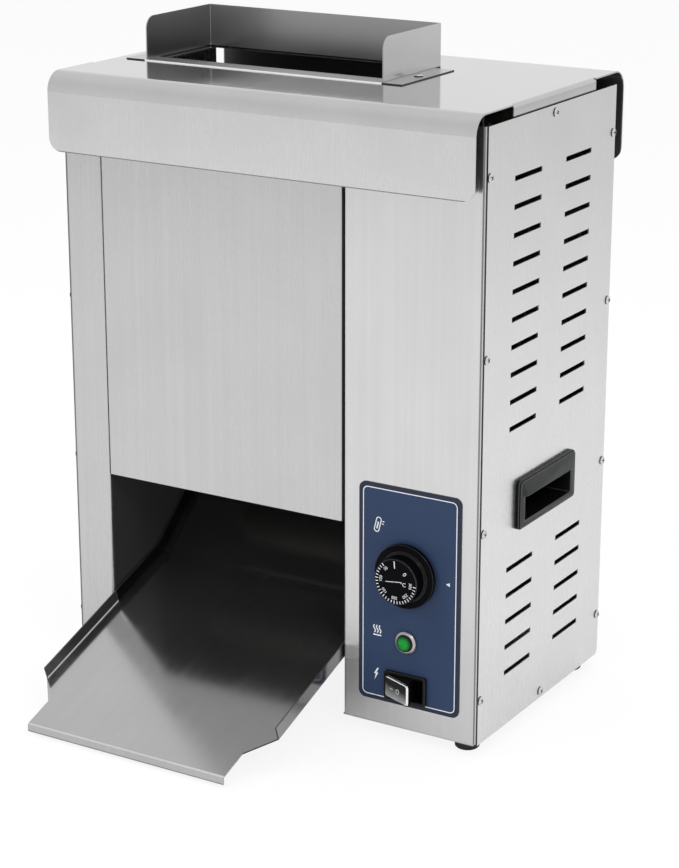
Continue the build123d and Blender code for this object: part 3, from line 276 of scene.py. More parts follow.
def brushed_grain():
    """Fine scratches and wider bands, stretched along one direction."""
    inputs = {"Vector": "Vector", "Stretch": "Vector", "Depth": "Float"}
    group, given = new_group("Brushed grain", inputs, ["Tone", "Streak"])
    place = vector_maths(group, "MULTIPLY", given["Vector"], given["Stretch"])
    fine = maths(group, "MULTIPLY", noise(group, place, 1.0, detail=3.0), FINE_SHARE)
    both = maths(group, "MULTIPLY_ADD", noise(group, place, BAND_SCALE), 1.0 - FINE_SHARE, fine)
    tone = maths(group, "MULTIPLY_ADD", maths(group, "SUBTRACT", both, 0.5), given["Depth"], 1.0)
    put(group, "NodeGroupOutput", {"Tone": tone, "Streak": both})
    return group


def box_mask():
    """1 inside a box with rounded edges and 0 outside it, with a soft edge."""
    inputs = {"Vector": "Vector", "Low": "Vector", "High": "Vector", "Round": "Float", "Soft": "Float"}
    group, given = new_group("Inside a box", inputs, ["Mask"])
    middle = scaled(group, vector_maths(group, "ADD", given["Low"], given["High"]), 0.5)
    reach = scaled(group, vector_maths(group, "SUBTRACT", given["High"], given["Low"]), 0.5)
    core = vector_maths(group, "SUBTRACT", reach, scaled(group, grey(1.0), given["Round"]))
    away = vector_maths(group, "ABSOLUTE", vector_maths(group, "SUBTRACT", given["Vector"], middle))
    over = vector_maths(group, "SUBTRACT", away, core)
    positive = vector_maths(group, "MAXIMUM", over, grey(0.0))
    outer = vector_maths(group, "LENGTH", positive, output="Value")
    flat = maths(group, "MAXIMUM", axis_of(group, over, "X"), axis_of(group, over, "Y"))
    inner = maths(group, "MINIMUM", maths(group, "MAXIMUM", flat, axis_of(group, over, "Z")), 0.0)
    depth = maths(group, "SUBTRACT", given["Round"], maths(group, "ADD", outer, inner))
    put(group, "NodeGroupOutput", [maths(group, "DIVIDE", depth, given["Soft"], clamp=True)])
    return group


def handling_marks():
    """Faint cloudy marks left by wiping and handling."""
    group, given = new_group("Handling marks", {"Vector": "Vector", "Scale": "Float"}, ["Cloud"])
    put(group, "NodeGroupOutput", [noise(group, given["Vector"], given["Scale"], detail=4.0)])
    return group


def moulded_grain():
    """Fine pebbled skin of moulded plastic and rubber."""
    group, given = new_group("Moulded grain", {"Vector": "Vector", "Scale": "Float"}, ["Height", "Tone"])
    pebble = noise(group, given["Vector"], given["Scale"])
    slow = maths(group, "MULTIPLY", given["Scale"], DRIFT_SCALE)
    drift = noise(group, given["Vector"], slow, detail=3.0)
    tone = maths(group, "MULTIPLY_ADD", drift, DRIFT_DEPTH, DRIFT_BASE)
    put(group, "NodeGroupOutput", {"Height": pebble, "Tone": tone})
    return group


GRAIN = brushed_grain()
INSIDE = box_mask()
MARKS = handling_marks()
PEBBLE = moulded_grain()
print("groups:", [group.name for group in (GRAIN, INSIDE, MARKS, PEBBLE)])

# %% [markdown]
# A finish starts from Object coordinates and ends at the shader. Between them stand the shared
# effects, and boxes that say where a finish changes. Most of these boxes are open on several sides,
# so only the sides that matter are named. Handling marks are given by their scale and by the ranges
# of tone and roughness that follow them.

# %% Helpers for finishes
FAR = 1.0
SOFT_EDGE = 0.3 * MM
CLOUD_RANGE = (0.3, 0.7)


def new_material(name):
    """Material with its tree, its shader and its Object coordinates."""
    material = bpy.data.materials.new(name)
    material.use_nodes = True
    tree = material.node_tree
    place = put(tree, "ShaderNodeTexCoord")["Object"]
    return material, tree, tree.nodes["Principled BSDF"].inputs, place


def put_group(tree, group, **values):
    """Shared effect placed in a material with its own values."""
    return put(tree, "ShaderNodeGroup", values, node_tree=group)


def worn(tree, place, scale, *ranges):
    """Values that follow the handling marks, each between its own ends."""
    cloud = put_group(tree, MARKS, Vector=place, Scale=scale)["Cloud"]
    return [remap(tree, cloud, *CLOUD_RANGE, *ends) for ends in ranges]


def coat(tree, shader, colour, rough, shine=None):
    """Colour and roughness of a surface, and its share of white reflection where that is given."""
    feed(tree, shader["Base Color"], colour)
    feed(tree, shader["Roughness"], rough)
    feed(tree, shader["Specular IOR Level"], shine)


def bumped(tree, shader, height, distance, strength=0.5):
    """Relief from a height."""
    bump = put(tree, "ShaderNodeBump", {"Strength": strength, "Distance": distance, "Height": height})
    feed(tree, shader["Normal"], bump["Normal"])


def span(left=-FAR, right=FAR, front=-FAR, back=FAR, foot=-FAR, top=FAR):
    """Lowest and highest corner of a box that is open on every side not given."""
    return (left, front, foot), (right, back, top)


def inside(tree, place, box, rounding=0.0):
    """Mask of a box placed in a material."""
    low, high = box
    return put_group(tree, INSIDE, Vector=place, Low=low, High=high, Round=rounding, Soft=SOFT_EDGE)["Mask"]


def meeting(tree, place, boxes):
    """Mask of the space that several boxes with rounded edges share."""
    mask = None
    for box, rounding in boxes:
        part = inside(tree, place, box, rounding)
        mask = maths(tree, "MULTIPLY", mask, part) if mask else part
    return mask


print("boxes reach", FAR, "m where they are open")

# %% [markdown]
# Stainless sheet is brushed up and down on this cabinet. Scratches make the mirror image blur
# sideways, so the shader is anisotropic, with its tangent level. The chamber side of the sheets is
# painted black as shade, and only the sides that face out stay bright. Cut edges, gaps and bends get
# thin lines of painted shade, some bends a painted highlight, and walls that mirror something else a
# painted reflection, each on the faces in a box that point one way.

# %% Steel
UPRIGHT = (1150.0, 1150.0, 9.0)
FINE_UPRIGHT = (3200.0, 3200.0, 12.0)
SIDEWAYS = (9.0, 1150.0, 1150.0)
FORWARDS = (1150.0, 9.0, 9.0)
EVEN = grey(300.0)
STREAK_RANGE = (0.25, 0.75)
SCRATCH_DEPTH = 0.02 * MM
SCRATCH_SPREAD = 0.3
STEEL_MARKS = (14.0, (0.97, 1.03), (-0.02, 0.02))
# Painted shade: black on the chamber side of the sheets, where little light reaches
CHAMBER_SHADE = grey(0.017)
CHAMBER_SHADE_ROUGHNESS = 0.55
# Painted shade: the usual dark tone of a line along cut edges, gaps and bends
EDGE_SHADE = grey(0.05)
LEVEL_TURN = (0.02, 0.03, 1.0)
UP = (0.0, 0.0, 1.0)
SIDE_LIMIT = 0.5
# A line paints a tone on the faces in its box that point one way: mostly painted shade, sometimes a painted
# highlight
Line = namedtuple("Line", "box facing limit tone matt", defaults=(None, 0.6, EDGE_SHADE, False))


def line_mask(tree, place, line):
    """Mask of the faces in a line's box that point its way, or any way but up and down."""
    normal = put(tree, "ShaderNodeNewGeometry")["True Normal"]
    aim = vector_maths(tree, "DOT_PRODUCT", normal, line.facing or UP, output="Value")
    if line.facing:
        turned = maths(tree, "GREATER_THAN", aim, line.limit)
    else:
        turned = maths(tree, "LESS_THAN", maths(tree, "ABSOLUTE", aim), SIDE_LIMIT)
    return maths(tree, "MULTIPLY", inside(tree, place, line.box), turned)


def steel(
    name, colour, roughness, stretch, depth=0.12, level=0.0, shade_boxes=(), lines=(), polish=None,
    mirror=1.0, lean=0.0, relief=0.1,
):
    """Brushed sheet, painted black as shade where all its shade boxes meet, with painted lines, and a
    polished range of height that is painted darker towards its top.
    """
    material, tree, shader, place = new_material(name)
    if lean:
        place = put(tree, "ShaderNodeMapping", {"Vector": place, "Rotation": (-lean, 0.0, 0.0)})[0]
    grain = put_group(tree, GRAIN, Vector=place, Stretch=stretch, Depth=depth)
    wear, blur = worn(tree, place, *STEEL_MARKS)
    tone = maths(tree, "MULTIPLY", grain["Tone"], wear)
    tint = scaled(tree, colour, tone)
    spread = SCRATCH_SPREAD * relief
    rough = maths(tree, "ADD", remap(tree, grain["Streak"], *STREAK_RANGE, -spread, spread), roughness)
    rough = maths(tree, "ADD", rough, blur)
    if polish:
        low, high, change, top_shade = polish
        height = axis_of(tree, place, "Z")
        rough = maths(tree, "ADD", rough, remap(tree, height, low, high, 0.0, change))
        # Painted shade: the tint darkens towards the top of the polished range
        tint = scaled(tree, tint, remap(tree, height, low, high, 1.0, top_shade))
    dull = 0.0
    for line in lines:
        mask = line_mask(tree, place, line)
        tint = blend_colour(tree, mask, tint, scaled(tree, line.tone, tone))
        dull = maths(tree, "MAXIMUM", mask, dull) if line.matt else dull
    black = meeting(tree, place, shade_boxes)
    if black:
        tint = blend_colour(tree, black, tint, CHAMBER_SHADE)
        rough = maths(tree, "ADD", rough, maths(tree, "MULTIPLY", black, CHAMBER_SHADE_ROUGHNESS - roughness))
        dull = maths(tree, "MAXIMUM", black, dull)
    shader["Metallic"].default_value = mirror
    if dull:
        feed(tree, shader["Metallic"], maths(tree, "SUBTRACT", mirror, dull, clamp=True))
    coat(tree, shader, tint, rough)
    bumped(tree, shader, grain["Streak"], SCRATCH_DEPTH, relief)
    if level:
        normal = put(tree, "ShaderNodeNewGeometry")["Normal"]
        feed(tree, shader["Tangent"], vector_maths(tree, "CROSS_PRODUCT", LEVEL_TURN, normal))
        shader["Anisotropic"].default_value = level
    return material


print("steel ready")

# %% [markdown]
# The sheets get tints of their own, painted light and shade that makes the one steel lighter on some
# faces than on others. The cover is polished on top and painted darker there, the guide is painted
# darker inside than outside, with one painted highlight along its front edge, and gaps and bends
# get thin lines of painted shade.

# %% Cabinet sheets
# Painted light and shade: one steel, darkest on the front and left column, lighter on the right column and
# cover, lightest on the sides and back
FRONT_TINT = grey(0.495)
COLUMN_TINT = grey(0.575)
SIDE_TINT = grey(0.69)
COVER_TINT = grey(0.615)
GUIDE_TINT = grey(0.46)
# Painted shade and reflection inside the guide, painted light on its outer side, and a painted highlight on
# its front edge
GUIDE_BACK_SHADE = grey(0.385)
GUIDE_LEFT_SHADE = grey(0.27)
GUIDE_OUTER_LIGHT = grey(0.59)
EDGE_HIGHLIGHT = grey(0.95)
# Painted shade: darker tones along bends and at the foot of the cover's lip
BEND_SHADE = grey(0.2)
LIP_SHADE = grey(0.22)
SATIN = 0.27
BRUSH_PULL = 0.75
FRONT_GRAIN = 0.22
POLISH_CHANGE = -0.17
# Painted shade: how much darker the cover is at its top
POLISH_SHADE = 0.82
SHEET = 1.2 * MM
HALF_SHEET = SHEET / 2
GUIDE_SHEET = 1.3 * MM
GUIDE_FLANGE = 20.0 * MM
EDGE = 3.0 * MM
COVER_ROUND = 17.0 * MM
FLANGE_ROUND = 3.7 * MM
LIP_LOW = 0.494
LIP_LINE = 1.0 * MM
SEAM = 0.9 * MM
BEND_REACH = 4.0 * MM
FACING_FRONT = (0.0, -1.0, 0.0)
FACING_RIGHT = (1.0, 0.0, 0.0)
RIGHT_CORNER = (0.5, -0.866, 0.0)
LEFT_CORNER = (-0.5, -0.866, 0.0)
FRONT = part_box("front_panel")[0].y
LEFT_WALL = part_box("left_housing")[1].x
RIGHT_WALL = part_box("right_housing")[0].x
COVER_LOW, COVER_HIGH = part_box("top_cover")
COVER_TOP = COVER_HIGH.z
GUIDE_LOW, GUIDE_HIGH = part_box("bun_guide")
GUIDE_MIDDLE = (GUIDE_LOW + GUIDE_HIGH) / 2
PANEL_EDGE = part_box("right_side_panel")[0].y
PANEL_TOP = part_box("right_side_panel")[1].z
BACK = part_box("back_panel")[0].y

behind_front = FRONT + EDGE
under_top = COVER_TOP - HALF_SHEET
# Boxes of painted black shade: the chamber side of the columns, the front and the back, and under the cover
left_shade = [(span(left=LEFT_WALL - SHEET - SOFT_EDGE, front=behind_front), 0.0)]
right_shade = [(span(right=RIGHT_WALL + SHEET + SOFT_EDGE, front=behind_front), 0.0)]
front_shade = [(span(front=FRONT + HALF_SHEET), 0.0)]
back_shade = [(span(back=BACK + HALF_SHEET), 0.0)]
between_lips = span(front=COVER_LOW.y + HALF_SHEET, back=COVER_HIGH.y - HALF_SHEET, top=under_top)
between_flanges = span(COVER_LOW.x + HALF_SHEET, COVER_HIGH.x - HALF_SHEET, top=under_top)
cover_shade = [(between_lips, COVER_ROUND - HALF_SHEET), (between_flanges, FLANGE_ROUND - HALF_SHEET)]

# Painted shade: a dark line at the foot of the lip and in the seam under the cover's flange
lip_foot = span(back=FRONT - EDGE, foot=LIP_LOW - LIP_LINE, top=LIP_LOW + LIP_LINE)
cover_seam = span(
    front=COVER_LOW.y + COVER_ROUND + EDGE, back=COVER_HIGH.y - COVER_ROUND - EDGE,
    foot=PANEL_TOP, top=PANEL_TOP + SEAM + LIP_LINE,
)
cover_lines = [Line(lip_foot, FACING_FRONT, tone=LIP_SHADE), Line(cover_seam)]
cover_polish = (COVER_TOP - COVER_ROUND, COVER_TOP - SHEET, POLISH_CHANGE, POLISH_SHADE)
# Painted shade on the side panels' front edges and along the front bends of the columns
panel_line = Line(span(back=PANEL_EDGE + EDGE), FACING_FRONT)
right_edge = span(left=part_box("right_housing")[1].x - BEND_REACH, back=behind_front)
right_bend = Line(right_edge, RIGHT_CORNER, 0.96, BEND_SHADE)
left_edge = span(right=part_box("left_housing")[0].x + BEND_REACH, back=behind_front)
left_bend = Line(left_edge, LEFT_CORNER, 0.9, BEND_SHADE)
guide_foot = COVER_TOP + GUIDE_SHEET
front_edge = span(
    GUIDE_LOW.x + GUIDE_FLANGE, GUIDE_HIGH.x - GUIDE_FLANGE, back=GUIDE_LOW.y + EDGE,
    foot=COVER_TOP - LIP_LINE, top=guide_foot,
)
# Painted shade at the guide's foot, a painted highlight on its front edge, and painted shade and light on its
# walls by the way they face
guide_lines = [
    Line(span(foot=COVER_TOP - LIP_LINE, top=guide_foot)),
    Line(front_edge, FACING_FRONT, tone=EDGE_HIGHLIGHT, matt=True),
    Line(span(front=GUIDE_MIDDLE.y, foot=guide_foot), FACING_FRONT, tone=GUIDE_BACK_SHADE),
    Line(span(right=GUIDE_MIDDLE.x, foot=guide_foot), FACING_RIGHT, tone=GUIDE_LEFT_SHADE),
    Line(span(left=GUIDE_MIDDLE.x, foot=guide_foot), FACING_RIGHT, tone=GUIDE_OUTER_LIGHT),
]

brushed = {"stretch": UPRIGHT, "level": BRUSH_PULL}
deep = {**brushed, "depth": FRONT_GRAIN}
finish_of = {
    "left_housing": steel("left_column_steel", FRONT_TINT, SATIN, shade_boxes=left_shade, lines=[left_bend], **deep),
    "right_housing": steel(
        "right_column_steel", COLUMN_TINT, roughness=0.24, shade_boxes=right_shade, lines=[right_bend], **deep,
    ),
    "front_panel": steel("front_panel_steel", FRONT_TINT, SATIN, shade_boxes=front_shade, **deep),
    "back_panel": steel("back_panel_steel", SIDE_TINT, roughness=0.3, shade_boxes=back_shade, **brushed),
    "left_side_panel": steel("side_panel_steel", SIDE_TINT, SATIN, depth=0.08, lines=[panel_line], **brushed),
    "top_cover": steel(
        "cover_steel", COVER_TINT, SATIN, FORWARDS, depth=0.05,
        shade_boxes=cover_shade, lines=cover_lines, polish=cover_polish,
    ),
    "bun_guide": steel(
        "guide_steel", GUIDE_TINT, roughness=0.29, stretch=FINE_UPRIGHT, depth=0.03,
        lines=guide_lines, mirror=0.95, relief=0.01,
    ),
}
finish_of["right_side_panel"] = finish_of["left_side_panel"]
print("sheets:", len(finish_of))

# %% [markdown]
# Other metals use the same brushed surface with their own colour, roughness and direction of wear:
# turned shafts are scratched round and round, cut gears across their teeth.

# %% Other metals
FOLDED = ["base_pan", "front_cross_bar", "rear_cross_bar", "tray_ledges", "bun_divider"]
FOLDED += ["motor_bracket", "platen_spacers"]
DRIVES = ["front_drive", "rear_drive", "front_idler", "rear_idler"]
TURNED = [drive + "_roller" for drive in DRIVES] + ["thermostat_spindle"]
CUT = [drive + "_gear" for drive in DRIVES] + ["gear_studs"]
METALS = {
    "frame_sheet": ((0.50, 0.50, 0.51), 0.4, SIDEWAYS, 0.12, FOLDED),
    "platen_metal": ((0.22, 0.21, 0.20), 0.42, UPRIGHT, 0.3, ["platen"]),
    "heater_sheath": ((0.35, 0.32, 0.28), 0.38, SIDEWAYS, 0.3, ["heaters"]),
    "turned_steel": ((0.56, 0.56, 0.57), 0.25, (9000.0, 30.0, 30.0), 0.2, TURNED),
    "cut_steel": ((0.42, 0.42, 0.44), 0.32, (30.0, 2500.0, 2500.0), 0.25, CUT),
    "bush_brass": ((0.34, 0.25, 0.11), 0.36, (5000.0, 60.0, 60.0), 0.2, ["shaft_bushes"]),
    "tube_copper": ((0.24, 0.14, 0.09), 0.4, EVEN, 0.25, ["sensing_tube"]),
    "lamp_chrome": ((0.47, 0.44, 0.45), 0.45, EVEN, 0.08, ["lamp_bezel"]),
}

for name, (tint, roughness, stretch, depth, wearers) in METALS.items():
    metal = steel(name, tint, roughness, stretch, depth)
    for node in wearers:
        finish_of[node] = metal
print("metals:", len(METALS))

# %% [markdown]
# The tray slopes, so its finish is worked out in coordinates that lean with it: there its floor is
# level and its walls stand upright. The inside of the left wall is painted dull and dark as shade,
# and black as shade inside the chamber, with one painted highlight along its foot where the bend
# catches the light. The outer side of the right wall is painted darker, the nose bend gets a painted
# highlight, and cut edges and the foot of the nose show as thin lines of painted shade.

# %% Tray finish
TRAY_LEAN = math.atan(0.344375)
TRAY_FLOOR = 77.98 * MM
TRAY_LOW, TRAY_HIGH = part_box("discharge_tray")
TRAY_TINT = grey(0.44)
# Painted shade on the left wall, black as shade inside the chamber, painted highlights on the wall's foot and
# the nose bend, and painted shade on the right wall's outer side
WALL_SHADE = grey(0.04)
CHAMBER_WALL_SHADE = grey(0.004)
PAINTED_GLINT = grey(0.9)
NOSE_GLINT = grey(0.66)
OUTER_SHADE = grey(0.33)
WALL_DEPTH = 20.0 * MM
WALL_GLINT = 1.2 * MM
GLINT_END = -0.02
WALL_TOP = 11.0 * MM
WALL_BACK = 0.03
CUT_END = -0.12
NOSE_END = -0.185
NOSE_FOOT = 72.4 * MM
TRAY_UP = (0.0, -0.3256, 0.9455)
NOSE_BEND = (0.0, -0.75, 0.66)

wall_side = TRAY_LOW.x + WALL_DEPTH
wall_glint = span(right=wall_side, back=GLINT_END, top=TRAY_FLOOR + WALL_GLINT)
# Lines of painted shade and painted highlight on the tray
tray_lines = [
    Line(span(right=wall_side, back=GLINT_END), FACING_RIGHT, tone=WALL_SHADE, matt=True),
    Line(span(right=wall_side, front=GLINT_END), FACING_RIGHT, tone=CHAMBER_WALL_SHADE, matt=True),
    Line(wall_glint, FACING_RIGHT, tone=PAINTED_GLINT, matt=True),
    Line(span(left=TRAY_HIGH.x - EDGE), FACING_RIGHT, tone=OUTER_SHADE),
    Line(span(back=WALL_BACK, foot=TRAY_FLOOR + WALL_TOP), TRAY_UP, 0.9, matt=True),
    Line(span(front=NOSE_END, back=CUT_END), FACING_FRONT, 0.5),
    Line(span(back=NOSE_END), NOSE_BEND, 0.93, NOSE_GLINT),
    Line(span(back=NOSE_END, top=NOSE_FOOT), FACING_FRONT, 0.8, BEND_SHADE),
]
finish_of["discharge_tray"] = steel(
    "tray_steel", TRAY_TINT, roughness=0.15, stretch=FORWARDS, depth=0.14,
    lines=tray_lines, mirror=0.965, lean=TRAY_LEAN,
)
print("tray leans by", round(math.degrees(TRAY_LEAN), 1), "degrees")

# %% [markdown]
# Handles, knob and switch are moulded plastic. The handles are dull with a fine grain, the knob and
# the switch are glossy. The belts are dark silicone and the feet are rubber.

# %% Plastic, rubber and paint
PLASTIC_GRAIN = 2600.0
PLASTIC_CLOUD = 60.0
PLASTIC_DRIFT = 0.05


def plastic(name, colour, roughness, grain_scale=PLASTIC_GRAIN, relief=0.03, shine=0.4):
    """Moulded material with a pebbled skin and slow changes of tone."""
    material, tree, shader, place = new_material(name)
    grain = put_group(tree, PEBBLE, Vector=place, Scale=grain_scale)
    [rough] = worn(tree, place, PLASTIC_CLOUD, (roughness - PLASTIC_DRIFT, roughness + PLASTIC_DRIFT))
    coat(tree, shader, scaled(tree, colour, grain["Tone"]), rough, shine)
    bumped(tree, shader, grain["Height"], relief * MM)
    return material


switch_plastic = plastic("switch_plastic", (0.004, 0.004, 0.0045), 0.25, relief=0.01, shine=0.2)
pale_plastic = plastic("terminal_plastic", (0.70, 0.68, 0.62), 0.45, 1800.0)
belt_skin = plastic("belt_silicone", (0.034, 0.026, 0.022), 0.5, 700.0, 0.15)
finish_of.update({
    "cable_gland": plastic("gland_plastic", grey(0.012), 0.42, relief=0.05),
    "thermostat_knob": plastic("knob_plastic", (0.0022, 0.0020, 0.0030), 0.2, relief=0.008, shine=0.035),
    "switch_housing": switch_plastic,
    "power_rocker": switch_plastic,
    "feet": plastic("foot_rubber", grey(0.012), 0.6, 1500.0, 0.08),
    "gear_motor": plastic("motor_paint", (0.05, 0.05, 0.055), 0.4, 900.0, 0.06),
    "thermostat_body": pale_plastic,
    "lamp_body": pale_plastic,
    "terminal_block": pale_plastic,
    "front_belt": belt_skin,
    "rear_belt": belt_skin,
})
print("finishes so far:", len(finish_of))

# %% [markdown]
# The handle is one moulding, but it reads as several: a grey face and hood, black walls between them
# and the panel, and a black pocket. Its tone follows the way that each face points, painted light and
# shade, and a box mask paints shade in the pocket. The bevels get a paler finish of their own, a
# painted highlight along the edges.

# %% Handle finish and painted edge highlights
POCKET_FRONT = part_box("right_side_panel")[1].x + 1.5 * MM
HANDLE_BLACK = grey(0.003)
HANDLE_LIT_GREY = (0.034, 0.037, 0.036)
HANDLE_FACE = (0.86, 0.97)
HANDLE_ROUGHNESS = (0.3, 0.4)
HANDLE_SHINE = 0.08
HANDLE_RELIEF = 0.03 * MM


def handle_finish():
    """Painted light and shade: grey on faces that point away from the cabinet, black on its walls, and
    painted shade in the pocket.
    """
    material, tree, shader, place = new_material("handle_plastic")
    grain = put_group(tree, PEBBLE, Vector=place, Scale=PLASTIC_GRAIN)
    [rough] = worn(tree, place, PLASTIC_CLOUD, HANDLE_ROUGHNESS)
    normal = put(tree, "ShaderNodeNewGeometry")["True Normal"]
    # Painted light on faces that point away from the cabinet, and painted shade in the pocket
    facing = remap(tree, maths(tree, "ABSOLUTE", axis_of(tree, normal, "X")), *HANDLE_FACE, 0.0, 1.0)
    pocket_shade = inside(tree, place, span(-POCKET_FRONT, POCKET_FRONT))
    outside = maths(tree, "SUBTRACT", facing, pocket_shade, clamp=True)
    tone = blend_colour(tree, outside, HANDLE_BLACK, HANDLE_LIT_GREY)
    coat(tree, shader, scaled(tree, tone, grain["Tone"]), rough, HANDLE_SHINE)
    bumped(tree, shader, grain["Height"], HANDLE_RELIEF)
    return material


finish_of["left_handle"] = handle_finish()
finish_of["right_handle"] = finish_of["left_handle"]
# Paler finishes for bevel faces: painted highlights along the edges
handle_edge_highlight = plastic("handle_edge_highlight", (0.05, 0.053, 0.052), 0.3, relief=0.01, shine=0.2)
knob_edge_highlight = plastic("knob_edge_highlight", (0.010, 0.009, 0.009), 0.2, relief=0.005)
switch_edge_highlight = plastic("switch_edge_highlight", grey(0.025), 0.2, relief=0.005, shine=0.8)
print("pocket is darker inside", round(POCKET_FRONT, 4))

# %% [markdown]
# The control plate is satin blue print on metal, a little darker outside its inset line. The lens
# is clear green plastic, with painted shade that darkens it towards its rim.

# %% Plate and lens finishes
PLATE_LOW, PLATE_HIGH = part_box("control_plate")
PLATE_FACE = PLATE_LOW.y
PLATE_BLUE = (0.026, 0.046, 0.100)
PLATE_DARK = (0.024, 0.029, 0.050)
PLATE_MARKS = (25.0, (0.94, 1.06), (0.36, 0.46))
PLATE_GRAIN = 3000.0
PLATE_RELIEF = 0.01 * MM
PLATE_SHINE = 0.14
LINE_INSET = 4.2 * MM
LINE_ROUND = 4.5 * MM
KNOB_LOW, KNOB_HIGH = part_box("thermostat_knob")
KNOB_CENTRE = (KNOB_LOW + KNOB_HIGH) / 2
LENS_LOW, LENS_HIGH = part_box("lamp_lens")
LENS_CENTRE = (LENS_LOW + LENS_HIGH) / 2
LENS_RADIUS = (LENS_HIGH.x - LENS_LOW.x) / 2
LENS_RIM = (LENS_RADIUS * 0.5, LENS_RADIUS * 0.9)
LENS_GREEN = (0.003, 0.26, 0.03)
# Painted shade towards the lens rim
LENS_RIM_SHADE = (0.0005, 0.008, 0.002)
LENS_MARKS = (300.0, (0.9, 1.1), (0.06, 0.12))
LENS_SHINE = 0.2


def plate_print():
    """Satin blue, darker outside the inset line."""
    material, tree, shader, place = new_material("plate_print")
    within = span(
        PLATE_LOW.x + LINE_INSET, PLATE_HIGH.x - LINE_INSET,
        foot=PLATE_LOW.z + LINE_INSET, top=PLATE_HIGH.z - LINE_INSET,
    )
    mask = inside(tree, place, within, LINE_ROUND)
    tone, rough = worn(tree, place, *PLATE_MARKS)
    grain = put_group(tree, PEBBLE, Vector=place, Scale=PLATE_GRAIN)
    blue = blend_colour(tree, mask, PLATE_DARK, PLATE_BLUE)
    coat(tree, shader, scaled(tree, blue, tone), rough, PLATE_SHINE)
    bumped(tree, shader, grain["Height"], PLATE_RELIEF)
    return material


def clear_green():
    """Green lens, with painted shade that darkens it towards its rim."""
    material, tree, shader, place = new_material("lens_green")
    flat = vector_maths(tree, "MULTIPLY", place, (1.0, 0.0, 1.0))
    away = vector_maths(tree, "SUBTRACT", flat, (LENS_CENTRE.x, 0.0, LENS_CENTRE.z))
    rim = remap(tree, vector_maths(tree, "LENGTH", away, output="Value"), *LENS_RIM, 0.0, 1.0)
    tone, rough = worn(tree, place, *LENS_MARKS)
    green = blend_colour(tree, rim, LENS_GREEN, LENS_RIM_SHADE)
    coat(tree, shader, scaled(tree, green, tone), rough, LENS_SHINE)
    return material


finish_of["control_plate"] = plate_print()
finish_of["lamp_lens"] = clear_green()
print("plate face at", round(PLATE_FACE, 4))

# %% [markdown]
# Every solid of the frame now gets its finish. The meshes themselves are never touched.

# %% Finishes onto the solids
for name, material in finish_of.items():
    nodes[name].data.materials.clear()
    nodes[name].data.materials.append(material)
print("dressed:", len(finish_of), "of", len(nodes))

# %% [markdown]
# New pieces are made as meshes at the origin. A piece that is built with modifiers is worked into a
# plain mesh before it is handed to the frame.

# %% Helpers for pieces
WELD = 0.005 * MM


def new_piece(name, mesh):
    """Object at the origin that holds a mesh."""
    piece = bpy.data.objects.new(name, mesh)
    bpy.context.scene.collection.objects.link(piece)
    return piece


def worked_mesh(piece):
    """Plain mesh of a piece as its modifiers leave it."""
    bpy.context.view_layer.update()
    graph = bpy.context.evaluated_depsgraph_get()
    return bpy.data.meshes.new_from_object(piece.evaluated_get(graph), depsgraph=graph)


def settle(piece):
    """Piece with its modifiers worked into its mesh."""
    mesh = worked_mesh(piece)
    piece.modifiers.clear()
    piece.data = mesh
    return piece


def smooth(mesh, degrees=35.0):
    """Smooth shading with sharp edges kept."""
    mesh.shade_smooth()
    mesh.set_sharp_from_angle(angle=math.radians(degrees))


def to_mesh(work, name):
    """Mesh of work that is done."""
    mesh = bpy.data.meshes.new(name)
    work.to_mesh(mesh)
    work.free()
    return mesh


def joined(node):
    """Copy of a solid with its loose triangles joined, as work in progress."""
    work = bmesh.new()
    work.from_mesh(nodes[node].data)
    bmesh.ops.remove_doubles(work, verts=work.verts, dist=WELD)
    return work


def dressed(piece, node_names, body):
    """Tell the frame what a piece rides on, and hide the solids that it stands for."""
    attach(piece, body)
    if node_names:
        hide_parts(*node_names)
    print(piece.name, "rides on", body, "with", len(piece.data.polygons), "faces")
    return piece


print("solids closer than", WELD / MM, "mm are joined")

# %% [markdown]
# The panels are held by small pan-head screws with a cross recess. One head is turned and cut. The
# faces of its recess and round the foot of its head carry an attribute, so that the finish can paint
# shade there.

# %% One screw head
HEAD_TOP = 2.15
HEAD_PROFILE = [(0.0, HEAD_TOP), (1.3, 2.1), (2.4, 1.85), (3.2, 1.4), (3.75, 0.9), (3.98, 0.75)]
HEAD_PROFILE += [(3.98, 0.0), (0.0, 0.0)]
HEAD_SIDES = 32
HEAD_WELD = 0.001 * MM
RECESS_ARM = 4.6
RECESS_WIDTH = 0.95
RECESS_DEPTH = 1.25
RECESS_FLOOR = (HEAD_TOP - RECESS_DEPTH + 0.1) * MM
RECESS_REACH = 0.55 * RECESS_ARM * MM
HEAD_FOOT = 0.5 * MM
UPRIGHT_LIMIT = 0.3
SCREW_TINT = (0.60, 0.60, 0.61)
# Painted shade in the recess and round the foot of the head
RECESS_SHADE = grey(0.03)
SCREW_MARKS = (500.0, (0.9, 1.1), (0.2, 0.3))


def lathe(name, profile, sides):
    """Profile of radius and height, in millimetres, turned about Z."""
    work = bmesh.new()
    points = [work.verts.new((r * MM, 0, z * MM)) for r, z in profile]
    edges = [work.edges.new(pair) for pair in zip(points, points[1:])]
    turn = {"axis": (0, 0, 1), "cent": (0, 0, 0), "angle": 2 * math.pi}
    bmesh.ops.spin(work, geom=points + edges, steps=sides, **turn)
    bmesh.ops.remove_doubles(work, verts=work.verts, dist=HEAD_WELD)
    bmesh.ops.recalc_face_normals(work, faces=work.faces)
    return to_mesh(work, name)


def block(name, size, height):
    """Block of a size, in millimetres, about a point at a height on Z."""
    work = bmesh.new()
    place = Matrix.LocRotScale(Vector((0.0, 0.0, height)) * MM, None, Vector(size) * MM)
    bmesh.ops.create_cube(work, size=1.0, matrix=place)
    return to_mesh(work, name)


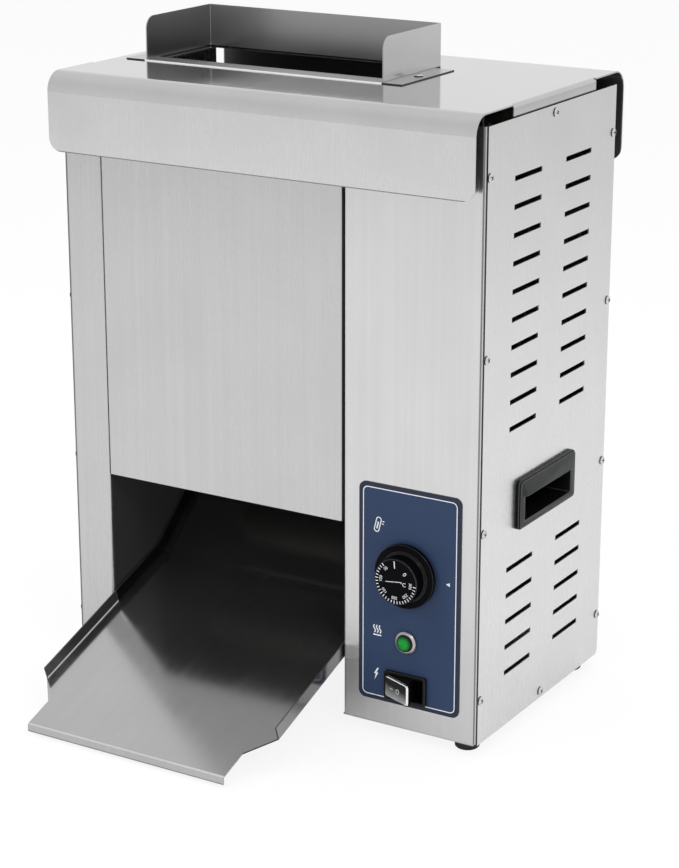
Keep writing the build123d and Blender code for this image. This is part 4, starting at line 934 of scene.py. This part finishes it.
def screw_finish():
    """Bright plated steel, with painted shade in the recess and round the foot of the head."""
    material, tree, shader, place = new_material("screw_steel")
    recess = put(tree, "ShaderNodeAttribute", attribute_name="recess")["Fac"]
    tone, rough = worn(tree, place, *SCREW_MARKS)
    coat(tree, shader, blend_colour(tree, recess, scaled(tree, SCREW_TINT, tone), RECESS_SHADE), rough)
    shader["Metallic"].default_value = 1.0
    return material


def mark_recess(mesh):
    """Attribute that is 1 where shade is painted: on the faces of the recess and round the foot of the head.
    """
    marks = mesh.attributes.new("recess", "FLOAT", "FACE")
    for face in mesh.polygons:
        upright = abs(face.normal.z) < UPRIGHT_LIMIT
        above_foot = face.center.z > HEAD_FOOT
        near = face.center.xy.length < RECESS_REACH
        in_recess = near and above_foot and (upright or face.center.z < RECESS_FLOOR)
        at_foot = upright and face.center.z < HEAD_FOOT
        if in_recess or at_foot:
            marks.data[face.index].value = 1.0


def screw_head():
    """Pan head with a cross recess."""
    head = new_piece("screw_pattern", lathe("screw_pattern", HEAD_PROFILE, HEAD_SIDES))
    cutters = []
    for arm in ((RECESS_ARM, RECESS_WIDTH), (RECESS_WIDTH, RECESS_ARM)):
        bar = block("recess_cutter", (*arm, 2 * RECESS_DEPTH), HEAD_TOP)
        cutters.append(new_piece("recess_cutter", bar))
        cut = head.modifiers.new("recess", "BOOLEAN")
        cut.object = cutters[-1]
        cut.solver = "EXACT"
    settle(head)
    for cutter in cutters:
        bpy.data.objects.remove(cutter)
    smooth(head.data)
    mark_recess(head.data)
    return head


pattern = screw_head()
screw_steel = screw_finish()
print("screw head faces:", len(pattern.data.polygons))

# %% [markdown]
# Geometry Nodes put a copy of the head at each place, each turned by its own amount as a fitter
# leaves them. The places are read from the plain screws of the frame.

# %% Screws at their places
SCREW_HEAD_HEIGHT = 2.2 * MM
SCREW_GROUPS = {
    "side_panel_screws": (1.0, 0.0, 0.0),
    "back_panel_screws": (0.0, 1.0, 0.0),
    "bun_guide_screws": UP,
}


def new_maker(name, inputs):
    """Geometry Nodes tree with named inputs, what these bring, and their identifiers."""
    return new_tree("GeometryNodeTree", name, inputs, {"Geometry": "Geometry"})


def hand_back(tree, instances, finish):
    """Instances made real and given a finish, as what a tree makes."""
    real = put(tree, "GeometryNodeRealizeInstances", [instances])[0]
    painted = put(tree, "GeometryNodeSetMaterial", {"Geometry": real, "Material": finish})[0]
    put(tree, "NodeGroupOutput", [painted])


def grow(piece, tree, names, **values):
    """Piece that a Geometry Nodes tree makes from some values, worked into a plain mesh."""
    step = piece.modifiers.new(tree.name, "NODES")
    step.node_group = tree
    for name, value in values.items():
        step[names[name]] = value
    return settle(piece)


def scatter_tree():
    """Tree that puts a pattern at each point, turned as the point says and spun at random."""
    inputs = {"Geometry": "Geometry", "Pattern": "Object", "Seed": "Int", "Finish": "Material"}
    tree, given, names = new_maker("Screws at points", inputs)
    head = put(tree, "GeometryNodeObjectInfo", {"Object": given["Pattern"]})["Geometry"]
    turn = put(tree, "GeometryNodeInputNamedAttribute", {"Name": "turn"}, data_type="FLOAT_VECTOR")
    stand = put(tree, "FunctionNodeEulerToRotation", [turn["Attribute"]])[0]
    placing = {"Points": given["Geometry"], "Instance": head, "Rotation": stand}
    heads = put(tree, "GeometryNodeInstanceOnPoints", placing)["Instances"]
    limits = {"Max": (0.0, 0.0, math.pi), "Seed": given["Seed"]}
    chance = put(tree, "FunctionNodeRandomValue", limits, data_type="FLOAT_VECTOR")["Value"]
    spin = put(tree, "FunctionNodeEulerToRotation", [chance])[0]
    spun = put(tree, "GeometryNodeRotateInstances", {"Instances": heads, "Rotation": spin})[0]
    hand_back(tree, spun, given["Finish"])
    return tree, names


def islands(node):
    """Lowest and highest corner of each separate solid of a node, in order of place."""
    work = joined(node)
    left = set(work.verts)
    boxes = []
    while left:
        group = [left.pop()]
        for vert in group:
            for edge in vert.link_edges:
                other = edge.other_vert(vert)
                if other in left:
                    left.remove(other)
                    group.append(other)
        low = Vector([min(v.co[i] for v in group) for i in range(3)])
        high = Vector([max(v.co[i] for v in group) for i in range(3)])
        boxes.append((low, high))
    work.free()
    return sorted(boxes, key=lambda box: [round(value, 4) for value in box[0]])


screw_tree, screw_inputs = scatter_tree()
for seed, (node, facing) in enumerate(SCREW_GROUPS.items(), 1):
    points = []
    turns = []
    for low, high in islands(node):
        middle = (low + high) / 2
        outward = Vector(facing)
        if outward.x and middle.x < 0:
            outward.negate()
        reach = (high - low) / 2
        tip = middle + Vector([o * r for o, r in zip(outward, reach)])
        points.append(tip - outward * SCREW_HEAD_HEIGHT)
        turns.append(Vector(UP).rotation_difference(outward).to_euler())
    mesh = bpy.data.meshes.new(node + "_heads")
    mesh.from_pydata(points, [], [])
    given_turns = mesh.attributes.new("turn", "FLOAT_VECTOR", "POINT")
    for index, turn in enumerate(turns):
        given_turns.data[index].vector = turn
    piece = new_piece(node + "_heads", mesh)
    grow(piece, screw_tree, screw_inputs, Pattern=pattern, Seed=seed, Finish=screw_steel)
    dressed(piece, [node], "cabinet")
bpy.data.objects.remove(pattern)

# %% [markdown]
# Moulded and turned parts have no knife edges. A merged copy of each solid gets a small bevel,
# which is what catches the light along the handle, the knob and the switch, where the bevel faces
# also get a paler finish as a painted highlight. The copy then stands for the solid.

# %% Softened edges on moulded parts
# Width of each bevel in millimetres, and the paler finish painted on its faces as highlight, where one is
# given
SOFTENED = {
    "left_handle": (0.45, handle_edge_highlight), "right_handle": (0.45, handle_edge_highlight),
    "thermostat_knob": (0.3, knob_edge_highlight), "switch_housing": (0.4, switch_edge_highlight),
    "lamp_bezel": (0.4, None), "feet": (0.6, None), "cable_gland": (0.5, None), "gear_motor": (0.6, None),
    "terminal_block": (0.4, None), "thermostat_body": (0.4, None),
}
FLAT_LIMIT = math.radians(0.5)
BEVEL_LIMIT = math.radians(28)
BEVEL_STEPS = 2
BEVEL_SMOOTH = 40.0


def softened(node, width, corner):
    """Copy of a solid with its edges rounded, and with a paler finish on them as painted highlight where one
    is given.
    """
    work = joined(node)
    bmesh.ops.dissolve_limit(work, angle_limit=FLAT_LIMIT, verts=work.verts, edges=work.edges)
    piece = new_piece(node + "_soft", to_mesh(work, node + "_soft"))
    piece.data.materials.append(finish_of[node])
    bevel = piece.modifiers.new("bevel", "BEVEL")
    bevel.width = width * MM
    bevel.segments = BEVEL_STEPS
    bevel.limit_method = "ANGLE"
    bevel.angle_limit = BEVEL_LIMIT
    bevel.use_clamp_overlap = True
    if corner:
        piece.data.materials.append(corner)
        bevel.material = 1
    settle(piece)
    smooth(piece.data, BEVEL_SMOOTH)
    return dressed(piece, [node], nodes[node]["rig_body"])


for node, (width, corner) in SOFTENED.items():
    softened(node, width, corner)

# %% [markdown]
# Small prints and the rocker's face start as flat sketches in millimetres. A sketch is given a
# thickness, turned to face the user and moved to its place.

# %% Helpers for flat sketches
INK_SIDES = 40
INK_MARKS = (700.0, (0.9, 1.05), (0.44, 0.56))


def ribbon(work, points, width, closed=False):
    """Flat strip of even width along points of a plane, as faces in XY."""
    count = len(points)
    left, right = [], []
    for index, point in enumerate(points):
        before = points[index - 1] if index or closed else point
        after = points[(index + 1) % count] if index < count - 1 or closed else point
        along = Vector((after[0] - before[0], after[1] - before[1])).normalized()
        side = Vector((-along.y, along.x)) * width / 2
        left.append(work.verts.new((point[0] + side.x, point[1] + side.y, 0)))
        right.append(work.verts.new((point[0] - side.x, point[1] - side.y, 0)))
    for index in range(count if closed else count - 1):
        following = (index + 1) % count
        work.faces.new((left[index], right[index], right[following], left[following]))


def circle_points(radius, centre=(0.0, 0.0)):
    """Points round a circle."""
    turns = [2 * math.pi * step / INK_SIDES for step in range(INK_SIDES)]
    return [(centre[0] + radius * math.cos(t), centre[1] + radius * math.sin(t)) for t in turns]


def rounded_outline(width, height, radius, corner_steps=6):
    """Points of a rounded rectangle about the origin."""
    points = []
    for turn, (sx, sy) in enumerate(((1, 1), (-1, 1), (-1, -1), (1, -1))):
        centre = (sx * (width / 2 - radius), sy * (height / 2 - radius))
        for step in range(corner_steps + 1):
            angle = math.radians(90 * turn + 90 * step / corner_steps)
            points.append((centre[0] + radius * math.cos(angle), centre[1] + radius * math.sin(angle)))
    return points


def thick_sheet(work, thickness):
    """Flat faces given a thickness towards +Z."""
    bmesh.ops.recalc_face_normals(work, faces=work.faces)
    for face in work.faces:
        if face.normal.z < 0:
            face.normal_flip()
    made = bmesh.ops.extrude_face_region(work, geom=list(work.faces), use_keep_orig=True)
    lifted = [item for item in made["geom"] if isinstance(item, bmesh.types.BMVert)]
    bmesh.ops.translate(work, vec=(0, 0, thickness), verts=lifted)
    bmesh.ops.recalc_face_normals(work, faces=work.faces)


def finished(work, name, place, material):
    """Mesh piece of millimetre work, moved to its place, with its finish."""
    mesh = to_mesh(work, name)
    mesh.transform(Matrix.Scale(MM, 4))
    mesh.transform(place)
    mesh.materials.append(material)
    return new_piece(name, mesh)


def facing_front(x, y, z):
    """Place of a flat sketch that faces the user: its X stays level, its Y goes up."""
    return Matrix.Translation((x, y, z)) @ Matrix.Rotation(math.radians(90), 4, "X")


def ink(name, colour):
    """Printed ink with a slightly uneven coat."""
    material, tree, shader, place = new_material(name)
    tone, rough = worn(tree, place, *INK_MARKS)
    coat(tree, shader, scaled(tree, colour, tone), rough)
    return material


white_ink = ink("white_ink", (0.72, 0.74, 0.78))
grey_ink = ink("grey_ink", grey(0.62))
print("inks ready")

# %% [markdown]
# The rocker has a glossy smoke-grey face with a bright sloping rim on a black body, and the usual
# line and ring for on and off. The face carries a painted reflection, dark towards its upper outer
# corner and bright along its foot. The face is a thin cap that lies on the tipped solid, so it swings
# with it.

# %% Rocker cap and its marks
ROCKER_TILT = 22.0
SWITCH_CENTRE = sum(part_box("switch_housing"), Vector()) / 2
ROCKER_PIVOT = Vector((SWITCH_CENTRE.x, PLATE_FACE, SWITCH_CENTRE.z))
ROCKER_LIFT = 11.0
CAP_SIZE = (32.0, 20.6)
CAP_RIM = 1.6
CAP_CORNER = 3.8
CAP_SUNK = 0.7
CAP_PROUD = 0.5
# Painted reflection: the cap's tone runs from dark to bright along this sweep
CAP_REFLECTION_SWEEP = (-2.0 * MM, 9.0 * MM)
CAP_SLANT = -0.12
CAP_REFLECTION_TONES = (0.06, 0.9)
CAP_TINT = grey(0.9)
CAP_MARKS = (120.0, (0.85, 1.15), (0.14, 0.22))
CAP_METAL = 0.9
RIM_TINT = grey(0.86)
MARK_PROUD = 0.08
MARK_LENGTH = 4.2
MARK_RING = 2.0
MARK_WIDTH = 0.55
MARK_SPREAD = 6.2
RING_PLACE = 0.4 * MARK_SPREAD


def rocker_place(lift):
    """Place on the rocker's tipped face."""
    tip = Matrix.Translation(ROCKER_PIVOT) @ Matrix.Rotation(math.radians(-ROCKER_TILT), 4, "Z")
    return tip @ facing_front(0, -lift * MM, 0)


def cap_with_painted_reflection():
    """Metallised moulding with a painted reflection, dark towards its upper outer corner and bright along its
    foot.
    """
    material, tree, shader, place = new_material("rocker_cap")
    wear, rough = worn(tree, place, *CAP_MARKS)
    across = maths(tree, "SUBTRACT", axis_of(tree, place, "X"), ROCKER_PIVOT.x)
    down = maths(tree, "SUBTRACT", ROCKER_PIVOT.z, axis_of(tree, place, "Z"))
    reflection_sweep = maths(tree, "MULTIPLY_ADD", across, CAP_SLANT, down)
    tone = maths(tree, "MULTIPLY", remap(tree, reflection_sweep, *CAP_REFLECTION_SWEEP, *CAP_REFLECTION_TONES), wear)
    coat(tree, shader, scaled(tree, CAP_TINT, tone), rough)
    shader["Metallic"].default_value = CAP_METAL
    return material


work = bmesh.new()
rim_size = [side - 2 * CAP_RIM for side in CAP_SIZE]
foot = [work.verts.new((x, y, -CAP_SUNK)) for x, y in rounded_outline(*CAP_SIZE, CAP_CORNER)]
crown = [work.verts.new((x, y, CAP_PROUD)) for x, y in rounded_outline(*rim_size, CAP_CORNER - CAP_RIM)]
work.faces.new(crown)
work.faces.new(foot[::-1])
for index in range(len(foot)):
    after = (index + 1) % len(foot)
    work.faces.new((foot[index], foot[after], crown[after], crown[index])).material_index = 1
bmesh.ops.recalc_face_normals(work, faces=work.faces)
cap = finished(work, "rocker_cap", rocker_place(ROCKER_LIFT), cap_with_painted_reflection())
cap.data.materials.append(steel("rocker_rim", RIM_TINT, 0.2, EVEN, depth=0.08))
dressed(cap, [], "rocker")

work = bmesh.new()
ribbon(work, [(-MARK_SPREAD - MARK_LENGTH / 2, 0.0), (-MARK_SPREAD + MARK_LENGTH / 2, 0.0)], MARK_WIDTH)
ribbon(work, circle_points(MARK_RING, (RING_PLACE, 0.0)), MARK_WIDTH, closed=True)
thick_sheet(work, MARK_PROUD)
marks = finished(work, "rocker_marks", rocker_place(ROCKER_LIFT + CAP_PROUD), grey_ink)
dressed(marks, [], "rocker")

# %% [markdown]
# The dial is read against a small triangle on the plate. Its scale is a ring of ticks, and ticks
# that repeat are a job for Geometry Nodes: one tick, placed and turned by its index.

# %% Dial ticks
DIAL_FACE = KNOB_LOW.y
DIAL_PLACE = facing_front(KNOB_CENTRE.x, DIAL_FACE, KNOB_CENTRE.z)
TICK_COUNT = 26
TICK_START = 132.0
TICK_SWEEP = 224.0
TICK_RADIUS = 18.5
TICK_SIZE = (2.4, 0.75, 0.12)
LONG_TICK = 0.2
LONG_EVERY = 5.0


def tick_tree():
    """Tree that sets ticks round part of a circle, every fifth one longer."""
    inputs = {"Count": "Int", "Start": "Float", "Step": "Float", "Radius": "Float", "Tick": "Vector"}
    tree, given, names = new_maker("Dial ticks", {**inputs, "Long": "Float", "Finish": "Material"})
    index = put(tree, "GeometryNodeInputIndex")[0]
    angle = maths(tree, "MULTIPLY_ADD", index, given["Step"], given["Start"])
    across = maths(tree, "MULTIPLY", maths(tree, "COSINE", angle), given["Radius"])
    up = maths(tree, "MULTIPLY", maths(tree, "SINE", angle), given["Radius"])
    spot = put(tree, "ShaderNodeCombineXYZ", [across, up])[0]
    points = put(tree, "GeometryNodePoints", {"Count": given["Count"], "Position": spot})[0]
    tick = put(tree, "GeometryNodeMeshCube", {"Size": given["Tick"]})["Mesh"]
    about_z = put(tree, "ShaderNodeCombineXYZ", {"Z": angle})[0]
    turn = put(tree, "FunctionNodeEulerToRotation", [about_z])[0]
    fifth = maths(tree, "COMPARE", maths(tree, "MODULO", index, LONG_EVERY), 0.0, 0.1)
    length = maths(tree, "MULTIPLY_ADD", fifth, given["Long"], 1.0)
    size = put(tree, "ShaderNodeCombineXYZ", [length, 1.0, 1.0])[0]
    placing = {"Points": points, "Instance": tick, "Rotation": turn, "Scale": size}
    hand_back(tree, put(tree, "GeometryNodeInstanceOnPoints", placing)["Instances"], given["Finish"])
    return tree, names


ticks = new_piece("dial_ticks", bpy.data.meshes.new("dial_ticks"))
grow(
    ticks, *tick_tree(), Count=TICK_COUNT, Start=math.radians(TICK_START),
    Step=math.radians(TICK_SWEEP / (TICK_COUNT - 1)), Radius=TICK_RADIUS * MM,
    Tick=tuple(value * MM for value in TICK_SIZE), Long=LONG_TICK, Finish=white_ink,
)
ticks.data.transform(DIAL_PLACE)
dressed(ticks, [], "knob")

# %% [markdown]
# The numbers are plain figures set round the dial with their feet to the middle. Text is turned into
# a mesh before it is put in place.

# %% Dial numbers
NUMBERS = ["50", "100", "150", "200", "250", "300"]
NUMBER_SIZE = 3.9
NUMBER_RADIUS = 14.4
NUMBER_PROUD = 0.1
OFF_ANGLE = 44.0
OFF_SIZE = 5.4
OFF_RADIUS = 12.2
TOP_MARK_ANGLE = math.radians(94.5)
TOP_MARK = (12.3, 18.9)
TOP_MARK_WIDTH = 0.85
HAND = [(-9.8, -1.0), (5.6, 0.8)]
HAND_WIDTH = 0.55
UNIT_PLACE = (7.4, -1.1, 0.0)
UNIT_SIZE = 5.0


def figure(work, text, size, place):
    """Adds a figure's flat faces to a mesh in progress."""
    curve = bpy.data.curves.new("figure", "FONT")
    curve.body = text
    curve.size = size
    curve.align_x = "CENTER"
    curve.align_y = "CENTER"
    holder = new_piece("figure", curve)
    mesh = worked_mesh(holder)
    mesh.transform(place)
    work.from_mesh(mesh)
    bpy.data.objects.remove(holder)


def round_dial(angle, radius):
    """Place on the dial's sketch, turned so that its feet point to the middle."""
    turn = math.radians(angle)
    spot = Matrix.Translation((radius * math.cos(turn), radius * math.sin(turn), 0))
    return spot @ Matrix.Rotation(turn - math.pi / 2, 4, "Z")


work = bmesh.new()
for number, text in enumerate(NUMBERS):
    angle = TICK_START + TICK_SWEEP * number / (len(NUMBERS) - 1)
    figure(work, text, NUMBER_SIZE, round_dial(angle, NUMBER_RADIUS))
figure(work, "0", OFF_SIZE, round_dial(OFF_ANGLE, OFF_RADIUS))
figure(work, "°C", UNIT_SIZE, Matrix.Translation(UNIT_PLACE))
top_mark = [(r * math.cos(TOP_MARK_ANGLE), r * math.sin(TOP_MARK_ANGLE)) for r in TOP_MARK]
ribbon(work, top_mark, TOP_MARK_WIDTH)
ribbon(work, HAND, HAND_WIDTH)
thick_sheet(work, NUMBER_PROUD)
numbers = finished(work, "dial_numbers", DIAL_PLACE, white_ink)
dressed(numbers, [], "knob")

# %% [markdown]
# The plate carries a thin inset line, a triangle for the dial and three plain signs: a thermometer,
# rising heat and a flash. They are thin flat shapes that lie on the plate like screen print.

# %% Signs on the plate
PRINT_PROUD = 0.08
LINE_WIDTH = 0.85
POINTER = [(185.2, 154.9), (185.2, 158.5), (181.4, 156.7)]
FLASH = (113.0, 59.0)
FLASH_POINTS = [(1.3, 5.8), (-2.1, 0.1), (-0.3, 0.1), (-1.5, -5.8), (2.3, 1.2), (0.5, 1.2), (2.8, 5.8)]
HEAT = (114.0, 100.5)
HEAT_BASE = [(-4.0, -4.6), (4.0, -4.6)]
HEAT_BASE_WIDTH = 1.2
WAVE_HEIGHT = 7.2
WAVE_START = 0.35
WAVE_SWING = 0.9
WAVE_PITCH = 2.8
WAVE_WIDTH = 1.1
WAVE_STEPS = 12
THERMOMETER = (114.0, 198.5)
TUBE_TURN = -14.0
TUBE_SIZE = (4.6, 13.5, 2.2)
TUBE_WIDTH = 0.9
TUBE_STROKES = [
    ([(0.0, -4.0), (0.0, 2.5)], 1.3),
    ([(3.6, 4.6), (5.6, 4.6)], 0.8),
    ([(3.6, 2.2), (5.6, 2.2)], 0.8),
]


def flat_shape(work, points):
    """One flat face."""
    work.faces.new([work.verts.new((x, y, 0)) for x, y in points])


def shifted(points, centre, degrees=0.0):
    """Points turned about the origin and moved to a centre."""
    turn = math.radians(degrees)
    c, s = math.cos(turn), math.sin(turn)
    return [(centre[0] + x * c - y * s, centre[1] + x * s + y * c) for x, y in points]


def wave(number):
    """Points of one line of rising heat."""
    climb = [step / WAVE_STEPS for step in range(WAVE_STEPS + 1)]
    swing = [WAVE_SWING * math.sin(2 * math.pi * share) for share in climb]
    return [(number * WAVE_PITCH + x, WAVE_HEIGHT * (t - WAVE_START)) for x, t in zip(swing, climb)]


work = bmesh.new()
middle = ((PLATE_LOW.x + PLATE_HIGH.x) / 2 / MM, (PLATE_LOW.z + PLATE_HIGH.z) / 2 / MM)
line_size = [(high - low - 2 * LINE_INSET) / MM for low, high in zip(PLATE_LOW.xz, PLATE_HIGH.xz)]
ribbon(work, shifted(rounded_outline(*line_size, LINE_ROUND / MM), middle), LINE_WIDTH, closed=True)
flat_shape(work, POINTER)
flat_shape(work, shifted(FLASH_POINTS, FLASH))
for number in (-1, 0, 1):
    ribbon(work, shifted(wave(number), HEAT), WAVE_WIDTH)
ribbon(work, shifted(HEAT_BASE, HEAT), HEAT_BASE_WIDTH)
ribbon(work, shifted(rounded_outline(*TUBE_SIZE), THERMOMETER, TUBE_TURN), TUBE_WIDTH, closed=True)
for points, width in TUBE_STROKES:
    ribbon(work, shifted(points, THERMOMETER, TUBE_TURN), width)
thick_sheet(work, PRINT_PROUD)
signs = finished(work, "plate_signs", facing_front(0, PLATE_FACE, 0), white_ink)
dressed(signs, [], "cabinet")
